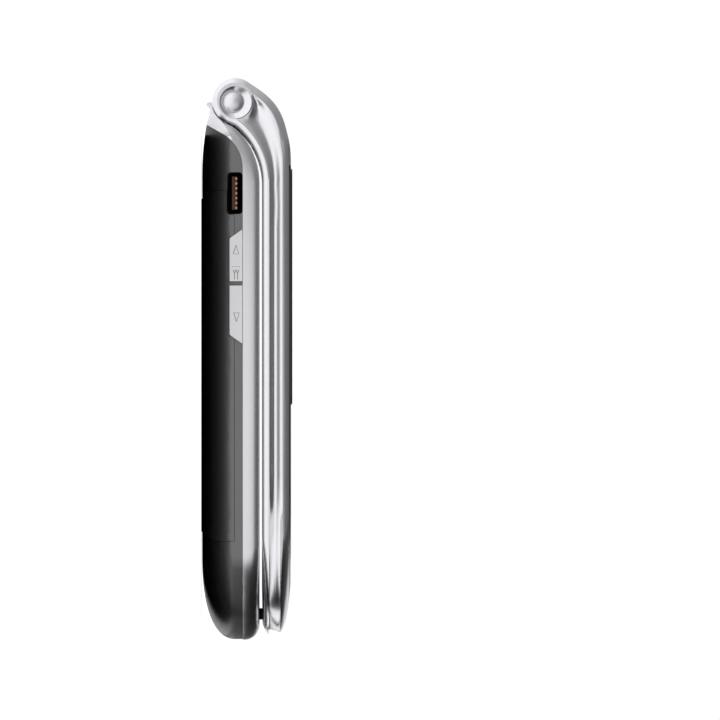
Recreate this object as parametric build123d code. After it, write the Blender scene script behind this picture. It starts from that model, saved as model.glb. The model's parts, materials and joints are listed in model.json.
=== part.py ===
from build123d import *
import os
from math import asin, atan2, cos, hypot, pi, radians, sin, sqrt, tan

# A closed flip phone that lies on its back. Millimetres, +Z towards the lid, +Y towards the
# hinge, and the centre of the footprint on the table is the origin. -X is the side with the
# volume keys and the connector, +X the side with the headset jack.

# Overall sizes
phone_length = 100.0
phone_width = 50.0
base_depth = 10.39
lid_gap = 0.44
lid_depth = 5.15
window_proud = 0.25

# Hinge barrel and the saddle that carries it
barrel_r = 4.05
barrel_clear = 0.25
axis_drop = 4.34
lid_barrel_length = 11.5
barrel_side_clear = 0.2
ring_r = 3.25
dish_r = 2.84
dish_shift = (-0.23, 0.05)
dish_depth = 0.75
cap_r = 1.82
cap_shift = (-0.17, -0.31)
cap_dome = 0.35
cap_stem_r = 1.1
cap_fit = 0.03

# Outline seen from the front
corner_r = 16.0
top_corner_r = 1.2

# Rounded back of the base
facet_drop = 4.39
seam_drop = 2.97
back_round_side = 9.9
back_round_end = 14.0
back_power = 2.2
cover_step = 0.18
back_lift_length = 9.8
back_lift = 0.8

# Silver bezel round the keypad, a little proud of the black shell
shell_step = 0.12
bezel_round_side = 0.8
bezel_round_end = 2.8
bezel_power = 2.0
bezel_reach = 2.6
saddle_arc_r = 13.0
saddle_arc_back = 14.55
saddle_blend_r = 5.0
seam_arc_r = 7.0
seam_arc_back = 11.95
seam_turn_deg = 60.0
tip_back = 3.05
tip_drop = 4.81
strut_slope = 0.298
lip_back = 0.5
lip_drop = 5.16
lip_width = 0.36
neck_thick = 0.2

# Walls and running gaps
shell_wall = 1.2
cover_wall = 0.9
cover_gap = 0.1
under_cover_wall = 0.9
seat_gap = 0.05
split_gap = 0.08
screen_gap = 0.1

# Battery cover
cover_hinge_gap = 15.9
cover_top_draw = 1.55
cover_end_gap = 17.7
cover_bottom_draw = 1.8
cover_bend_z = 3.0

# Battery bay, battery and floor
bay_floor_drop = 5.39
bay_floor = 0.6
bay_hinge_gap = 20.35
bay_end_gap = 19.4
battery_side_gap = 8.0
battery_room = 0.25
rail_width = 0.8
rail_depth = 2.4
inner_wall = 2.8
cavity_hinge_gap = 8.35

# Circuit board and what it carries
board_drop = 3.59
board_thick = 0.8
board_side_gap = 0.3
board_hinge_gap = 5.0
board_end_gap = 2.6
can_wall = 0.25
can_height = 1.0
dome_film = 0.12
dome_mic_gap = 0.8
sheet_corner_r = 6.0
dome_r = 2.2
dome_height = 0.2

# Keypad
digit_names = ["key_1", "key_2", "key_3", "key_4", "key_5", "key_6", "key_7", "key_8",
               "key_9", "key_star", "key_0", "key_hash"]
nav_drop = 0.25
mic_end_gap = 7.6
mic_hole_r = 0.4
mic_r = 2.0
panel_side_gap = 2.9
panel_arc_gap = 1.2
panel_end_gap = 3.4
panel_thick = 0.95
panel_drop = 0.19
ledge_width = 1.5
ledge_depth = 0.7
key_gap = 0.12
key_proud = 0.1
key_flange = 0.35
key_flange_depth = 0.4
key_travel = 0.25
stem_r = 1.0
stem_gap = 0.3
digit_side_margin = 2.7
digit_gap_x = 1.1
digit_gap_y = 1.3
digit_first_gap = 34.8
digit_end_gap = 16.6
digit_corner = 1.4
nav_gap = 12.0
nav_outer_r = 8.2
nav_ok_r = 3.6
nav_tilt_deg = 1.5
side_key_gap = 2.7
side_key_margin = 2.6
soft_gap = 7.0
soft_height = 4.6
call_gap = 17.0
call_height = 6.2
clear_gap = 24.8
clear_width = 8.6
clear_height = 4.0

# Volume keys on the left side
volume_height = 2.34
volume_hinge_gap = 22.83
volume_up_length = 9.22
volume_split_gap = 0.75
volume_down_length = 10.35
volume_slant = 1.6
volume_proud = 0.3
volume_depth = 1.9
volume_travel = 0.25
volume_gap = 0.1

# Switches behind the volume keys
switch_plunger = 0.35
switch_plunger_r = 0.5
switch_half = 1.6
switch_rest_gap = 0.1

# Connector on the left side
port_hinge_gap = 16.4
port_length = 7.45
port_height = 2.74
port_depth = 6.2
port_wall = 0.3
port_recess = 0.45
port_corner = 0.7
tongue_thick = 0.9
tongue_length = 5.9
tongue_set_back = 0.6
contact_count = 7
contact_pitch = 0.87
contact_width = 0.4
contact_thick = 0.12

# Headset jack on the right side
jack_hinge_gap = 16.15
jack_drop = 5.15
jack_bore_r = 1.9
jack_flat = 3.4
jack_length = 12.0
jack_set_back = 2.6
jack_body_half = 2.9
jack_body_low = 2.55
jack_body_high = 2.05
jack_spring_thick = 0.35
jack_spring_half = 0.75
jack_wall = 1.2
boss_r = 3.28
boss_length = 3.0

# Lid
lid_round_side = 1.3
lid_round_end = 13.5
lid_power = 2.3
lid_round_rise = 2.37
lid_inner_side = 0.5
lid_inner_end = 2.75
lid_inner_power = 1.6
lid_inner_round = 1.37
lid_end_gap = 0.95
band_width = 1.25
band_draw = 0.5
panel_proud = 0.35
front_panel_inset = 1.15
front_panel_end = 5.6
front_panel_thick = 1.25
window_top_rim = 0.4
window_length = 42.1
window_side_rim = 5.35
window_thick = 0.85
window_bevel = 0.2
brow_leave_deg = 34.0
brow_steps = ((-1.9, 5.5), (-0.14, 3.46), (2.53, 1.68), (6.05, 0.58))
brow_back = 11.55
scoop_leave_deg = 69.0
scoop_steps = ((-0.15, 5.32), (1.65, 3.73), (4.3, 2.48), (8.75, 1.68))
rim_band = 1.25
scoop_outer_rise = 3.67
scoop_depth = 0.95
scoop_shallow = 0.15
scoop_ring_depth = 0.85
scoop_ring_reach = 3.6
scoop_steps_count = 6
lid_wall = 1.8
lid_room_gap = 7.45
lid_roof = 0.7
inner_frame_drop = 0.1
inner_frame_thick = 1.05
inner_frame_gap = 1.1
bumper_r = 0.9
bumper_end_gap = 4.5
bumper_side_gap = 15.5
bumper_clear = 0.04
bumper_root = 0.5

# Screens, boards and speakers
main_screen_side = 6.0
main_screen_gap = 11.4
main_screen_end_gap = 12.0
inner_window_rim = 1.2
inner_window_thick = 0.75
lid_board_thick = 0.5
lid_board_side = 3.5
lid_board_draw = 2.0
lid_board_reach = 9.0
lid_board_room = 0.21
stack_gap = 0.02
outer_screen_rim = 2.2
outer_screen_side = 4.5
outer_screen_top_gap = 5.0
outer_screen_low_gap = 5.1
outer_screen_room = 0.09
ear_gap = 5.0
ear_half_x = 6.0
ear_half_y = 1.9
ear_thick = 1.2

# Works under the board, each as a box or a place and a size
can_screw_gap = 0.5
radio_can_gap = 11.6
can_split = 1.4
processor_can_half = 14.0
processor_can_gap = 2.6
processor_can_end = 18.4
sim_inner_x = 3.0
sim_gap = 12.6
battery_contact_half = 5.0
battery_contact_pitch = 3.0
battery_contact_drop = 2.3
battery_contact_high = 2.0
battery_contact_deep = 2.4
finger_half = 0.5
finger_thick = 0.2
speaker_end_gap = 10.0
speaker_width = 15.0
speaker_height = 9.0
speaker_depth = 3.2
motor_x = 12.6
motor_end_gap = 11.0
motor_r = 4.0
motor_depth = 2.7
antenna_x = (-16.0, -8.6)
antenna_end_gap = 9.0
antenna_length = 5.6
antenna_depth = 3.0

# Screws
upper_screw_side = 5.2
lower_screw_side = 3.6
lower_screw_end = 23.0
lid_screw_side = 4.4
lid_screw_low_side = 7.0
lid_screw_gap = 6.8
lid_screw_end = 9.4
screw_r = 0.7
screw_head_r = 1.2
screw_head = 0.6
screw_slot_half = 0.8
screw_slot_wide = 0.15
screw_fit = 0.08
screw_sink = 0.1
boss_wall = 0.8

# Hinge works inside the barrel
hinge_can_r = 2.6
hinge_can_length = 8.0
hinge_can_wall = 0.3
hinge_shaft_r = 1.3
hinge_shaft_flat = 0.35
hinge_shaft_grip = 4.5
hinge_fit = 0.04
bush_r = 2.4
bush_bore_r = 1.9
bush_length = 6.0
flex_thick = 0.15
flex_roll_r = 1.5
flex_width = 5.0
flex_side = 0.5
lid_flex_roll_gap = 0.3
lid_flex_roll_width = 3.0
lid_flex_back = 0.6
lid_flex_rise = 4.0
lid_flex_end_gap = 5.5
flex_room = 0.3

# Places that follow from the sizes above: the width, the length and the heights
half_width = phone_width / 2
inner_half = half_width - inner_wall
board_half = inner_half - board_side_gap
panel_half = half_width - panel_side_gap
lid_wall_half = half_width - lid_wall
centre_half = half_width - lid_barrel_length
end_y = -phone_length / 2
lid_end_y = end_y + lid_end_gap
axis_y = phone_length / 2 - barrel_r
axis_z = base_depth - axis_drop
facet_z = base_depth - facet_drop
seam_z = base_depth - seam_drop
lid_z = base_depth + lid_gap
lid_top = lid_z + lid_depth
rim_top = lid_top - panel_proud
lid_round_z = lid_z + lid_round_rise
scoop_outer_z = lid_z + scoop_outer_rise

# Hinge end: the curves of the base and the lid, and the lip behind the barrel
saddle_r = barrel_r + barrel_clear
saddle_arc_start = axis_y - saddle_arc_back
seam_arc_start = axis_y - seam_arc_back
tip_y = axis_y - tip_back
tip_z = axis_z - tip_drop
lip_y = axis_y - lip_back
lip_z = axis_z - lip_drop
brow_end = axis_y - brow_back

# Battery, its cover and its bay
cover_top = axis_y - cover_hinge_gap
cover_top_back = cover_top - cover_top_draw
cover_bottom = end_y + cover_end_gap
cover_bottom_back = cover_bottom + cover_bottom_draw
bay_floor_z = base_depth - bay_floor_drop
bay_top = axis_y - bay_hinge_gap
bay_bottom = end_y + bay_end_gap
battery_width = phone_width - 2 * battery_side_gap
battery_length = bay_top - bay_bottom - 2 * cover_gap
battery_depth = bay_floor_z - seat_gap - cover_wall - battery_room
battery_contact_z = bay_floor_z - battery_contact_drop

# Board, keypad panel and keys
cavity_top = axis_y - cavity_hinge_gap
board_z = base_depth - board_drop
board_top_z = board_z + board_thick
board_top = cavity_top - board_hinge_gap
board_low_y = end_y + board_end_gap
board_mid_y = (board_top + board_low_y) / 2
panel_z = base_depth - panel_drop
panel_low = panel_z - panel_thick
panel_top = saddle_arc_start - panel_arc_gap
mic_y = end_y + mic_end_gap
digit_first_y = panel_top - digit_first_gap
digit_pitch_y = (digit_first_y - end_y - digit_end_gap) / 3
digit_height = digit_pitch_y - digit_gap_y
digit_width = (2 * (panel_half - digit_side_margin - digit_gap_x)) / 3
digit_pitch_x = digit_width + digit_gap_x
nav_y = panel_top - nav_gap
side_key_inner = nav_outer_r + side_key_gap
side_key_width = panel_half - side_key_margin - side_key_inner
side_key_x = side_key_inner + side_key_width / 2
soft_y = panel_top - soft_gap
call_y = panel_top - call_gap
clear_y = panel_top - clear_gap

# What shows in the sides of the base
volume_z = seam_z - volume_height
volume_top = axis_y - volume_hinge_gap
volume_split = volume_top - volume_up_length - volume_split_gap
volume_bottom = volume_split - volume_down_length
port_y = axis_y - port_hinge_gap
port_z1 = seam_z
port_z0 = port_z1 - port_height
jack_y = axis_y - jack_hinge_gap
jack_z = base_depth - jack_drop

# What lies in the lid
front_panel_top = brow_end
window_half = half_width - front_panel_inset - window_side_rim
window_top = front_panel_top - window_top_rim
window_bottom = window_top - window_length
lid_room_top = axis_y - lid_room_gap
lid_roof_z = lid_top - front_panel_thick - lid_roof
inner_frame_top = lid_room_top - inner_frame_gap
frame_back = lid_z + inner_frame_drop + inner_frame_thick
main_screen_half = half_width - main_screen_side
main_screen_top = inner_frame_top - main_screen_gap
main_screen_bottom = end_y + main_screen_end_gap
lid_board_z = lid_roof_z - lid_board_room - lid_board_thick
lid_board_half = main_screen_half - lid_board_side
lid_board_bottom = main_screen_bottom + lid_board_draw
lid_board_top = main_screen_top + lid_board_reach
outer_screen_half = window_half - outer_screen_side
outer_screen_top = window_top - outer_screen_top_gap
outer_screen_bottom = window_bottom + outer_screen_low_gap
ear_y = inner_frame_top - ear_gap
bumper_x = half_width - bumper_side_gap
bumper_y = end_y + bumper_end_gap

# What hangs under the board, and the screws
speaker_y = end_y + speaker_end_gap
motor_y = end_y + motor_end_gap
antenna_y = end_y + antenna_end_gap
upper_screw_x = half_width - upper_screw_side
upper_screw_y = (soft_y - soft_height / 2 + call_y + call_height / 2) / 2
lower_screw_x = half_width - lower_screw_side
lower_screw_y = end_y + lower_screw_end
lid_screw_x = half_width - lid_screw_side
lid_screw_low_x = half_width - lid_screw_low_side
lid_screw_top = inner_frame_top - lid_screw_gap
lid_screw_bottom = end_y + lid_screw_end
can_reach = upper_screw_x - screw_r - boss_wall - can_screw_gap

# The flexible circuit, which leaves the hinge bush at both ends
flex_x0 = bush_length / 2 - centre_half
flex_x1 = flex_x0 + flex_width
bush_x0 = -centre_half - barrel_side_clear - bush_length / 2
lid_flex_x1 = bush_x0 - lid_flex_roll_gap
lid_flex_x0 = lid_flex_x1 - lid_flex_roll_width
lid_flex_tail_x0 = lid_flex_x0 + flex_side
lid_flex_tail_x1 = lid_flex_tail_x0 + flex_width
lid_flex_end_y = lid_room_top - lid_flex_end_gap


def block(x0, x1, y0, y1, z0, z1):
    """A box from its lowest to its highest corner."""
    size = Box(x1 - x0, y1 - y0, z1 - z0)
    return Pos((x0 + x1) / 2, (y0 + y1) / 2, (z0 + z1) / 2) * size


def peg(x, y, z0, z1, radius):
    """A round peg that stands along Z."""
    return Pos(x, y, (z0 + z1) / 2) * Cylinder(radius, z1 - z0)


def rod(x0, x1, radius, y=axis_y, z=axis_z):
    """A round rod along X, on the hinge axis unless another place is given."""
    return Pos((x0 + x1) / 2, y, z) * Rot(0, 90, 0) * Cylinder(radius, x1 - x0)


def side_prism(edges, x0, x1):
    """Extrude an outline drawn in (Y, Z) from x0 to x1."""
    face = Plane.YZ.offset(x0) * make_face(edges)
    return extrude(face, x1 - x0, dir=(1, 0, 0))


def outline(half, low, high, low_r, high_r):
    """The closed outline of the phone seen from the front: large corners at the free end."""
    edges = [
        Line((half, high - high_r), (half, low + low_r)),
        CenterArc((half - low_r, low + low_r), low_r, 0, -90),
        Line((half - low_r, low), (low_r - half, low)),
        CenterArc((low_r - half, low + low_r), low_r, 270, -90),
        Line((-half, low + low_r), (-half, high - high_r)),
        CenterArc((high_r - half, high - high_r), high_r, 180, -90),
        Line((high_r - half, high), (half - high_r, high)),
        CenterArc((half - high_r, high - high_r), high_r, 90, -90),
    ]
    return make_face(edges)


def slab(half, low, high, low_r, high_r, z0, z1):
    """A plate with that outline between two heights."""
    return extrude(Pos(0, 0, z0) * outline(half, low, high, low_r, high_r), z1 - z0)


def round_in(share, power):
    """How far a rounded edge draws in, from 0 to 1, at a share of its height."""
    return 1 - max(0.0, 1 - share ** power) ** (1 / power)


def rounded_form(z0, z1, side, end, power, low, inset=0.0, high=None, steps=8, ruled=False):
    """A solid between z0 and z1 whose outline draws in by side and end towards z1."""
    high = phone_length / 2 + 5 if high is None else high
    sections = []
    for k in range(steps + 1):
        share = sin(radians(90 * k / steps))
        draw = round_in(share, power)
        z = z0 + (z1 - z0) * share
        radius = max(corner_r - inset - draw * min(side, corner_r - 2), 1.0)
        face = outline(half_width - inset - draw * side, low + inset + draw * end, high,
                       radius, top_corner_r)
        sections.append(Pos(0, 0, z) * face)
    return loft(sections, ruled=ruled)


def rear_form(inset, back):
    """The base below the seam, drawn in by inset, with its back at the height back."""
    draw = inset + shell_step
    curved = rounded_form(facet_z, back, back_round_side - draw, back_round_end - draw,
                          back_power, end_y, draw)
    band = slab(half_width - draw, end_y + draw, phone_length / 2 + 5,
                corner_r - draw, top_corner_r, facet_z, seam_z)
    return curved + band


def bezel_form():
    """The silver part of the base above the seam, a little proud of the black shell."""
    round_z = base_depth - bezel_reach
    frame = rounded_form(round_z, base_depth, bezel_round_side, bezel_round_end, bezel_power,
                         end_y, ruled=True)
    frame += slab(half_width, end_y, phone_length / 2 + 5, corner_r, top_corner_r, seam_z,
                  round_z)
    return frame + block(-half_width, half_width, saddle_arc_start, phone_length / 2 + 5,
                         seam_z, base_depth)


def lid_arc_point(offset, y):
    """A point of the lid's curved inner end at y, with the arc's radius grown by offset."""
    rise = sqrt((saddle_arc_r + offset) ** 2 - (y - saddle_arc_start) ** 2)
    return y, lid_z - saddle_arc_r + rise


def rim_meet():
    """Where the inner edge of the lid's rim meets the ring of the hinge."""
    low, high = saddle_arc_start, axis_y
    for _ in range(60):
        y, z = lid_arc_point(rim_band, (low + high) / 2)
        reach = hypot(y - axis_y, z - axis_z)
        low, high = (y, high) if reach > ring_r else (low, y)
    return lid_arc_point(rim_band, low)


def blend_points(edge_z, circle_r):
    """Where a curved end that starts at edge_z runs over into a circle about the hinge axis:
    the first, middle and last point of the blending arc."""
    centre_z = edge_z - saddle_arc_r
    dy, dz = axis_y - saddle_arc_start, axis_z - centre_z
    apart = hypot(dy, dz)
    near = saddle_arc_r - saddle_blend_r
    along = (near ** 2 - (circle_r + saddle_blend_r) ** 2 + apart ** 2) / (2 * apart)
    aside = sqrt(near ** 2 - along ** 2)
    y = saddle_arc_start + (along * dy - aside * dz) / apart
    z = centre_z + (along * dz + aside * dy) / apart
    first = atan2(z - centre_z, y - saddle_arc_start)
    last = atan2(axis_z - z, axis_y - y)
    return [(y + saddle_blend_r * cos(turn), z + saddle_blend_r * sin(turn))
            for turn in (first, (first + last) / 2, last)]


def on_circle(radius, turn):
    """A point on a circle about the hinge axis."""
    return axis_y + radius * cos(turn), axis_z + radius * sin(turn)


def hinge_curve(edge_z, circle_r, last):
    """The curve in (Y, Z) from the straight edge at edge_z over the curved end and round the
    hinge to the point last, as arcs that run smoothly into each other."""
    first, middle, met = blend_points(edge_z, circle_r)
    centre_z = edge_z - saddle_arc_r
    half = (pi / 2 + atan2(first[1] - centre_z, first[0] - saddle_arc_start)) / 2
    arc_mid = (saddle_arc_start + saddle_arc_r * cos(half), centre_z + saddle_arc_r * sin(half))
    turn_met = atan2(met[1] - axis_z, met[0] - axis_y)
    turn_last = atan2(last[1] - axis_z, last[0] - axis_y)
    return [
        ThreePointArc((saddle_arc_start, edge_z), arc_mid, first),
        ThreePointArc(first, middle, met),
        ThreePointArc(met, on_circle(circle_r, (turn_met + turn_last) / 2), last),
    ]


def rim_cut(edge_z, circle_r, last, draw, reach, power, up):
    """What rounding that curve's edge takes from the right side: draw at the edge, nothing at
    reach from it. up is 1 where the solid lies above the edge and -1 where it lies below."""
    curve = []
    for k in range(9):
        share = sin(radians(90 * (8 - k) / 8))
        curve.append((half_width - draw * round_in(share, power),
                      edge_z + up * reach * (1 - share)))
    out = half_width + 1
    profile = make_face([
        Polyline(*curve),
        Line(curve[-1], (out, curve[-1][1])),
        Line((out, curve[-1][1]), (out, edge_z - up)),
        Line((out, edge_z - up), (curve[0][0], edge_z - up)),
        Line((curve[0][0], edge_z - up), curve[0]),
    ])
    path = Plane.YZ.offset(half_width) * Wire(hinge_curve(edge_z, circle_r, last))
    section = Plane((0, saddle_arc_start, 0), x_dir=(1, 0, 0), z_dir=(0, -1, 0)) * profile
    return sweep(section, path=path)


def strut_end():
    """Where the slanted back of the saddle runs into the barrel's clearance."""
    low, high = tip_y, axis_y
    for _ in range(60):
        y = (low + high) / 2
        z = tip_z + strut_slope * (y - tip_y)
        reach = sqrt((y - axis_y) ** 2 + (z - axis_z) ** 2)
        low, high = (y, high) if reach > saddle_r else (low, y)
    return low, tip_z + strut_slope * (low - tip_y)


def base_side():
    """The base seen from the side: back, raised end, saddle and the flat keypad face."""
    strut = strut_end()
    lift_start = tip_y - back_lift_length
    lift_end = (tip_y - 1.1, cover_step + back_lift)
    return [
        Line((end_y - 5, -1), (end_y - 5, base_depth)),
        Line((end_y - 5, base_depth), (saddle_arc_start, base_depth)),
        *hinge_curve(base_depth, saddle_r, strut),
        Line(strut, (tip_y, tip_z)),
        Line((tip_y, tip_z), lift_end),
        ThreePointArc(lift_end, ((lift_start + lift_end[0]) / 2, cover_step + back_lift / 4),
                      (lift_start, cover_step)),
        Line((lift_start, cover_step), (lift_start, -1)),
        Line((lift_start, -1), (end_y - 5, -1)),
    ]


def below_seam():
    """The region of the black shell seen from the side, under the silver bezel."""
    turn = radians(seam_turn_deg)
    arc_end = (seam_arc_start + seam_arc_r * sin(turn), seam_z - seam_arc_r * (1 - cos(turn)))
    mid = (seam_arc_start + seam_arc_r * sin(turn / 2),
           seam_z - seam_arc_r * (1 - cos(turn / 2)))
    drop = arc_end[1] + 2
    low = (arc_end[0] + drop / tan(turn), -2)
    return [
        Line((end_y - 6, seam_z), (seam_arc_start, seam_z)),
        ThreePointArc((seam_arc_start, seam_z), mid, arc_end),
        Line(arc_end, low),
        Line(low, (end_y - 6, -2)),
        Line((end_y - 6, -2), (end_y - 6, seam_z)),
    ]


def brow_points():
    """The lid's sloping front above the hinge, from the barrel to the flat front."""
    leave = radians(brow_leave_deg)
    start = (axis_y + barrel_r * cos(leave), axis_z + barrel_r * sin(leave))
    between = [(axis_y - reach, lid_top - drop) for reach, drop in brow_steps]
    return [start, *between, (brow_end, lid_top)]


def barrel_back():
    """The point of the barrel that lies nearest to the back of the phone."""
    return axis_y, axis_z - barrel_r


def lid_side():
    """The lid seen from the side: inner face, barrel, sloping brow and flat front."""
    return [
        Line((end_y - 5, lid_z), (saddle_arc_start, lid_z)),
        *hinge_curve(lid_z, barrel_r, barrel_back()),
        ThreePointArc(barrel_back(), on_circle(barrel_r, -pi / 4), on_circle(barrel_r, 0)),
        *brow_lines(),
        Line((end_y - 5, lid_top), (end_y - 5, lid_z)),
    ]


def brow_lines():
    """From the end of the barrel over the brow to the free end of the lid."""
    points = brow_points()
    leave = radians(brow_leave_deg)
    half = leave / 2
    return [
        ThreePointArc((axis_y + barrel_r, axis_z),
                      (axis_y + barrel_r * cos(half), axis_z + barrel_r * sin(half)), points[0]),
        Spline(points, tangents=[(-sin(leave), cos(leave)), (-1, 0)]),
        Line(points[-1], (end_y - 5, lid_top)),
    ]


def lid_envelope():
    """A prism with the lid's outer curve and a slanted band along both sides."""
    under = barrel_back()
    edges = [
        Line((end_y - 5, under[1]), under),
        ThreePointArc(under, on_circle(barrel_r, -pi / 4), on_circle(barrel_r, 0)),
        *brow_lines(),
        Line((end_y - 5, lid_top), (end_y - 5, under[1])),
    ]
    prism = side_prism(edges, -half_width, half_width)
    for sign in (-1, 1):
        side = [f for f in prism.faces() if abs(f.center().X - sign * half_width) < 0.01][0]
        edges = [e for e in side.edges() if e.center().Y > end_y]
        prism = chamfer(edges, band_width, band_draw, reference=side)
    return prism


def lid_form():
    """The lid's rounded plan and edges, before its side outline trims it."""
    low_z = lid_z + lid_inner_round
    inner = rounded_form(low_z, lid_z, lid_inner_side, lid_inner_end, lid_inner_power,
                         lid_end_y, ruled=True)
    middle = slab(half_width, lid_end_y, phone_length / 2 + 5, corner_r, top_corner_r,
                  low_z, lid_round_z)
    outer = rounded_form(lid_round_z, lid_top, lid_round_side, lid_round_end, lid_power,
                         lid_end_y)
    hinge_end = block(-half_width, half_width, saddle_arc_start, phone_length / 2 + 5,
                      -1, low_z)
    return inner + middle + outer + hinge_end


def scoop_inset(deepest, share):
    """How deep the channel is at a share of the way from its deepest edge to its shallow one."""
    return scoop_shallow + (deepest - scoop_shallow) * cos(radians(90 * share))


def scoop_form():
    """The floor of the scooped channel that runs round the lid's sides and free end."""
    inner_z = lid_z + rim_band
    sections = []
    steps = scoop_steps_count
    for z, share in [(0.0, 0.0)] + [(inner_z + (scoop_outer_z - inner_z) * k / steps, k / steps)
                                    for k in range(steps + 1)]:
        inset = scoop_inset(scoop_depth, share)
        face = outline(half_width - inset, lid_end_y + inset, phone_length / 2 + 5,
                       corner_r - inset, top_corner_r)
        sections.append(Pos(0, 0, z) * face)
    return loft(sections, ruled=True)


def scoop_side():
    """The channel seen from the side: between the two rims, round the ring of the hinge."""
    inner_z = lid_z + rim_band
    meet = rim_meet()
    mid_y = (saddle_arc_start + meet[0]) / 2
    leave = radians(scoop_leave_deg)
    top = (axis_y + ring_r * cos(leave), axis_z + ring_r * sin(leave))
    side = radians((scoop_leave_deg + 180) / 2)
    ring_mid = (axis_y + ring_r * cos(side), axis_z + ring_r * sin(side))
    outer = [(axis_y - reach, lid_top - drop) for reach, drop in scoop_steps]
    return [
        Line((end_y - 5, inner_z), (saddle_arc_start, inner_z)),
        ThreePointArc((saddle_arc_start, inner_z), lid_arc_point(rim_band, mid_y), meet),
        ThreePointArc(meet, ring_mid, top),
        Spline([top, *outer, (brow_end, scoop_outer_z)],
               tangents=[(-sin(radians(brow_leave_deg)), cos(radians(brow_leave_deg))), (-1, 0)]),
        Line((brow_end, scoop_outer_z), (end_y - 5, scoop_outer_z)),
        Line((end_y - 5, scoop_outer_z), (end_y - 5, inner_z)),
    ]


def scoop_hinge_cut():
    """The channel's hollow at the hinge end of the right side: it is deepest along the inner
    rim and round the ring, and comes up towards the outer rim."""
    steps = scoop_steps_count
    width = scoop_outer_z - lid_z - rim_band
    far = 3 * width
    out = half_width + 1
    rim_floor, ring_floor = [], []
    for k in range(steps + 1):
        share = k / steps
        rim_floor.append((half_width - scoop_inset(scoop_depth, share),
                          lid_z + rim_band + width * share))
        ring_floor.append((half_width - scoop_inset(scoop_ring_depth, share),
                           ring_r + scoop_ring_reach * share))
    rim_low, rim_high = rim_floor[0], (half_width - scoop_shallow, lid_z + rim_band + far)
    profile = make_face([
        Polyline(*rim_floor),
        Line(rim_floor[-1], rim_high),
        Line(rim_high, (out, rim_high[1])),
        Line((out, rim_high[1]), (out, rim_low[1])),
        Line((out, rim_low[1]), rim_low),
    ])
    lift = lid_z - saddle_arc_r
    turned = Plane((0, saddle_arc_start, 0), x_dir=(1, 0, 0), z_dir=(0, -1, 0)) * profile
    round_rim = revolve(turned, Axis((0, saddle_arc_start, lift), (-1, 0, 0)), 80)
    ring_low, ring_high = ring_floor[0], ring_floor[-1]
    profile = make_face([
        Spline(ring_floor),
        Line(ring_high, (out, ring_high[1])),
        Line((out, ring_high[1]), (out, ring_low[1])),
        Line((out, ring_low[1]), ring_low),
    ])
    turned = Plane((0, axis_y, axis_z), x_dir=(1, 0, 0), z_dir=(0, -1, 0)) * profile
    return round_rim + revolve(turned, Axis((0, axis_y, axis_z), (1, 0, 0)), 360)


def both_sides(shape):
    """A cut on the right side, with its mirror image on the left."""
    return [shape, mirror(shape, Plane.YZ)]


def across(edges):
    """A prism that passes right across the phone."""
    return side_prism(edges, -half_width - 2, half_width + 2)


def button_plate(x, y, width, height, radius, z0, z1):
    """A rectangular plate with rounded corners round a centre."""
    face = RectangleRounded(width, height, radius)
    return extrude(Pos(x, y, z0) * face, z1 - z0)


# The keys of the keypad: name, centre and size. Round keys stand apart below.
def keypad_layout():
    keys = []
    for number in range(12):
        column, row = number % 3 - 1, number // 3
        name = digit_names[number]
        keys.append((name, column * digit_pitch_x, digit_first_y - row * digit_pitch_y,
                     digit_width, digit_height))
    keys.append(("soft_key_left", -side_key_x, soft_y, side_key_width, soft_height))
    keys.append(("soft_key_right", side_key_x, soft_y, side_key_width, soft_height))
    keys.append(("call_key", -side_key_x, call_y, side_key_width, call_height))
    keys.append(("end_key", side_key_x, call_y, side_key_width, call_height))
    keys.append(("clear_key", 0, clear_y, clear_width, clear_height))
    return keys


def flange_z():
    """The lower face of every key's retaining flange."""
    return panel_low - seat_gap - key_flange_depth


def stem_z():
    """The tip of a key's stem, just above its snap dome."""
    return board_top_z + dome_film + dome_height + stem_gap


def rectangular_key(x, y, width, height):
    """A key cap with its flange under the panel and its stem over the dome."""
    cap = button_plate(x, y, width, height, digit_corner, flange_z(), panel_z + key_proud)
    flange = button_plate(x, y, width + 2 * key_flange, height + 2 * key_flange, digit_corner,
                          flange_z(), flange_z() + key_flange_depth)
    return cap + flange + peg(x, y, stem_z(), flange_z() + 0.1, stem_r)


def key_opening(x, y, width, height):
    """The hole in the panel for a rectangular key."""
    return button_plate(x, y, width + 2 * key_gap, height + 2 * key_gap,
                        digit_corner + key_gap, panel_low - 1, panel_z + 1)


def nav_ring():
    """The tilting ring round the centre key, with four stems over its domes."""
    bore = nav_ok_r + 2 * key_gap + key_flange
    low = flange_z() - nav_drop
    ring = peg(0, nav_y, low, panel_z + key_proud, nav_outer_r)
    shape = ring + peg(0, nav_y, low, low + key_flange_depth, nav_outer_r + key_flange)
    for x, y in nav_stems():
        shape += peg(x, y, stem_z(), low + 0.1, stem_r)
    lip = flange_z() + key_flange_depth + 2 * key_gap
    shape -= peg(0, nav_y, stem_z() - 1, lip, bore)
    return shape - peg(0, nav_y, low, panel_z + 1, nav_ok_r + key_gap)


def nav_stems():
    """The four stems of the ring, halfway across its face."""
    reach = (nav_outer_r + nav_ok_r) / 2 + 0.2
    return [(reach, nav_y), (-reach, nav_y), (0, nav_y + reach), (0, nav_y - reach)]


def nav_ok_key():
    """The round key in the middle of the ring."""
    shape = peg(0, nav_y, flange_z(), panel_z + key_proud, nav_ok_r)
    shape += peg(0, nav_y, flange_z(), flange_z() + key_flange_depth, nav_ok_r + key_flange)
    return shape + peg(0, nav_y, stem_z(), flange_z() + 0.1, stem_r)


def stem_places():
    """Where the stems of all keys come down on the domes."""
    return [(x, y) for _, x, y, _, _ in keypad_layout()] + [(0, nav_y), *nav_stems()]


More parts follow.
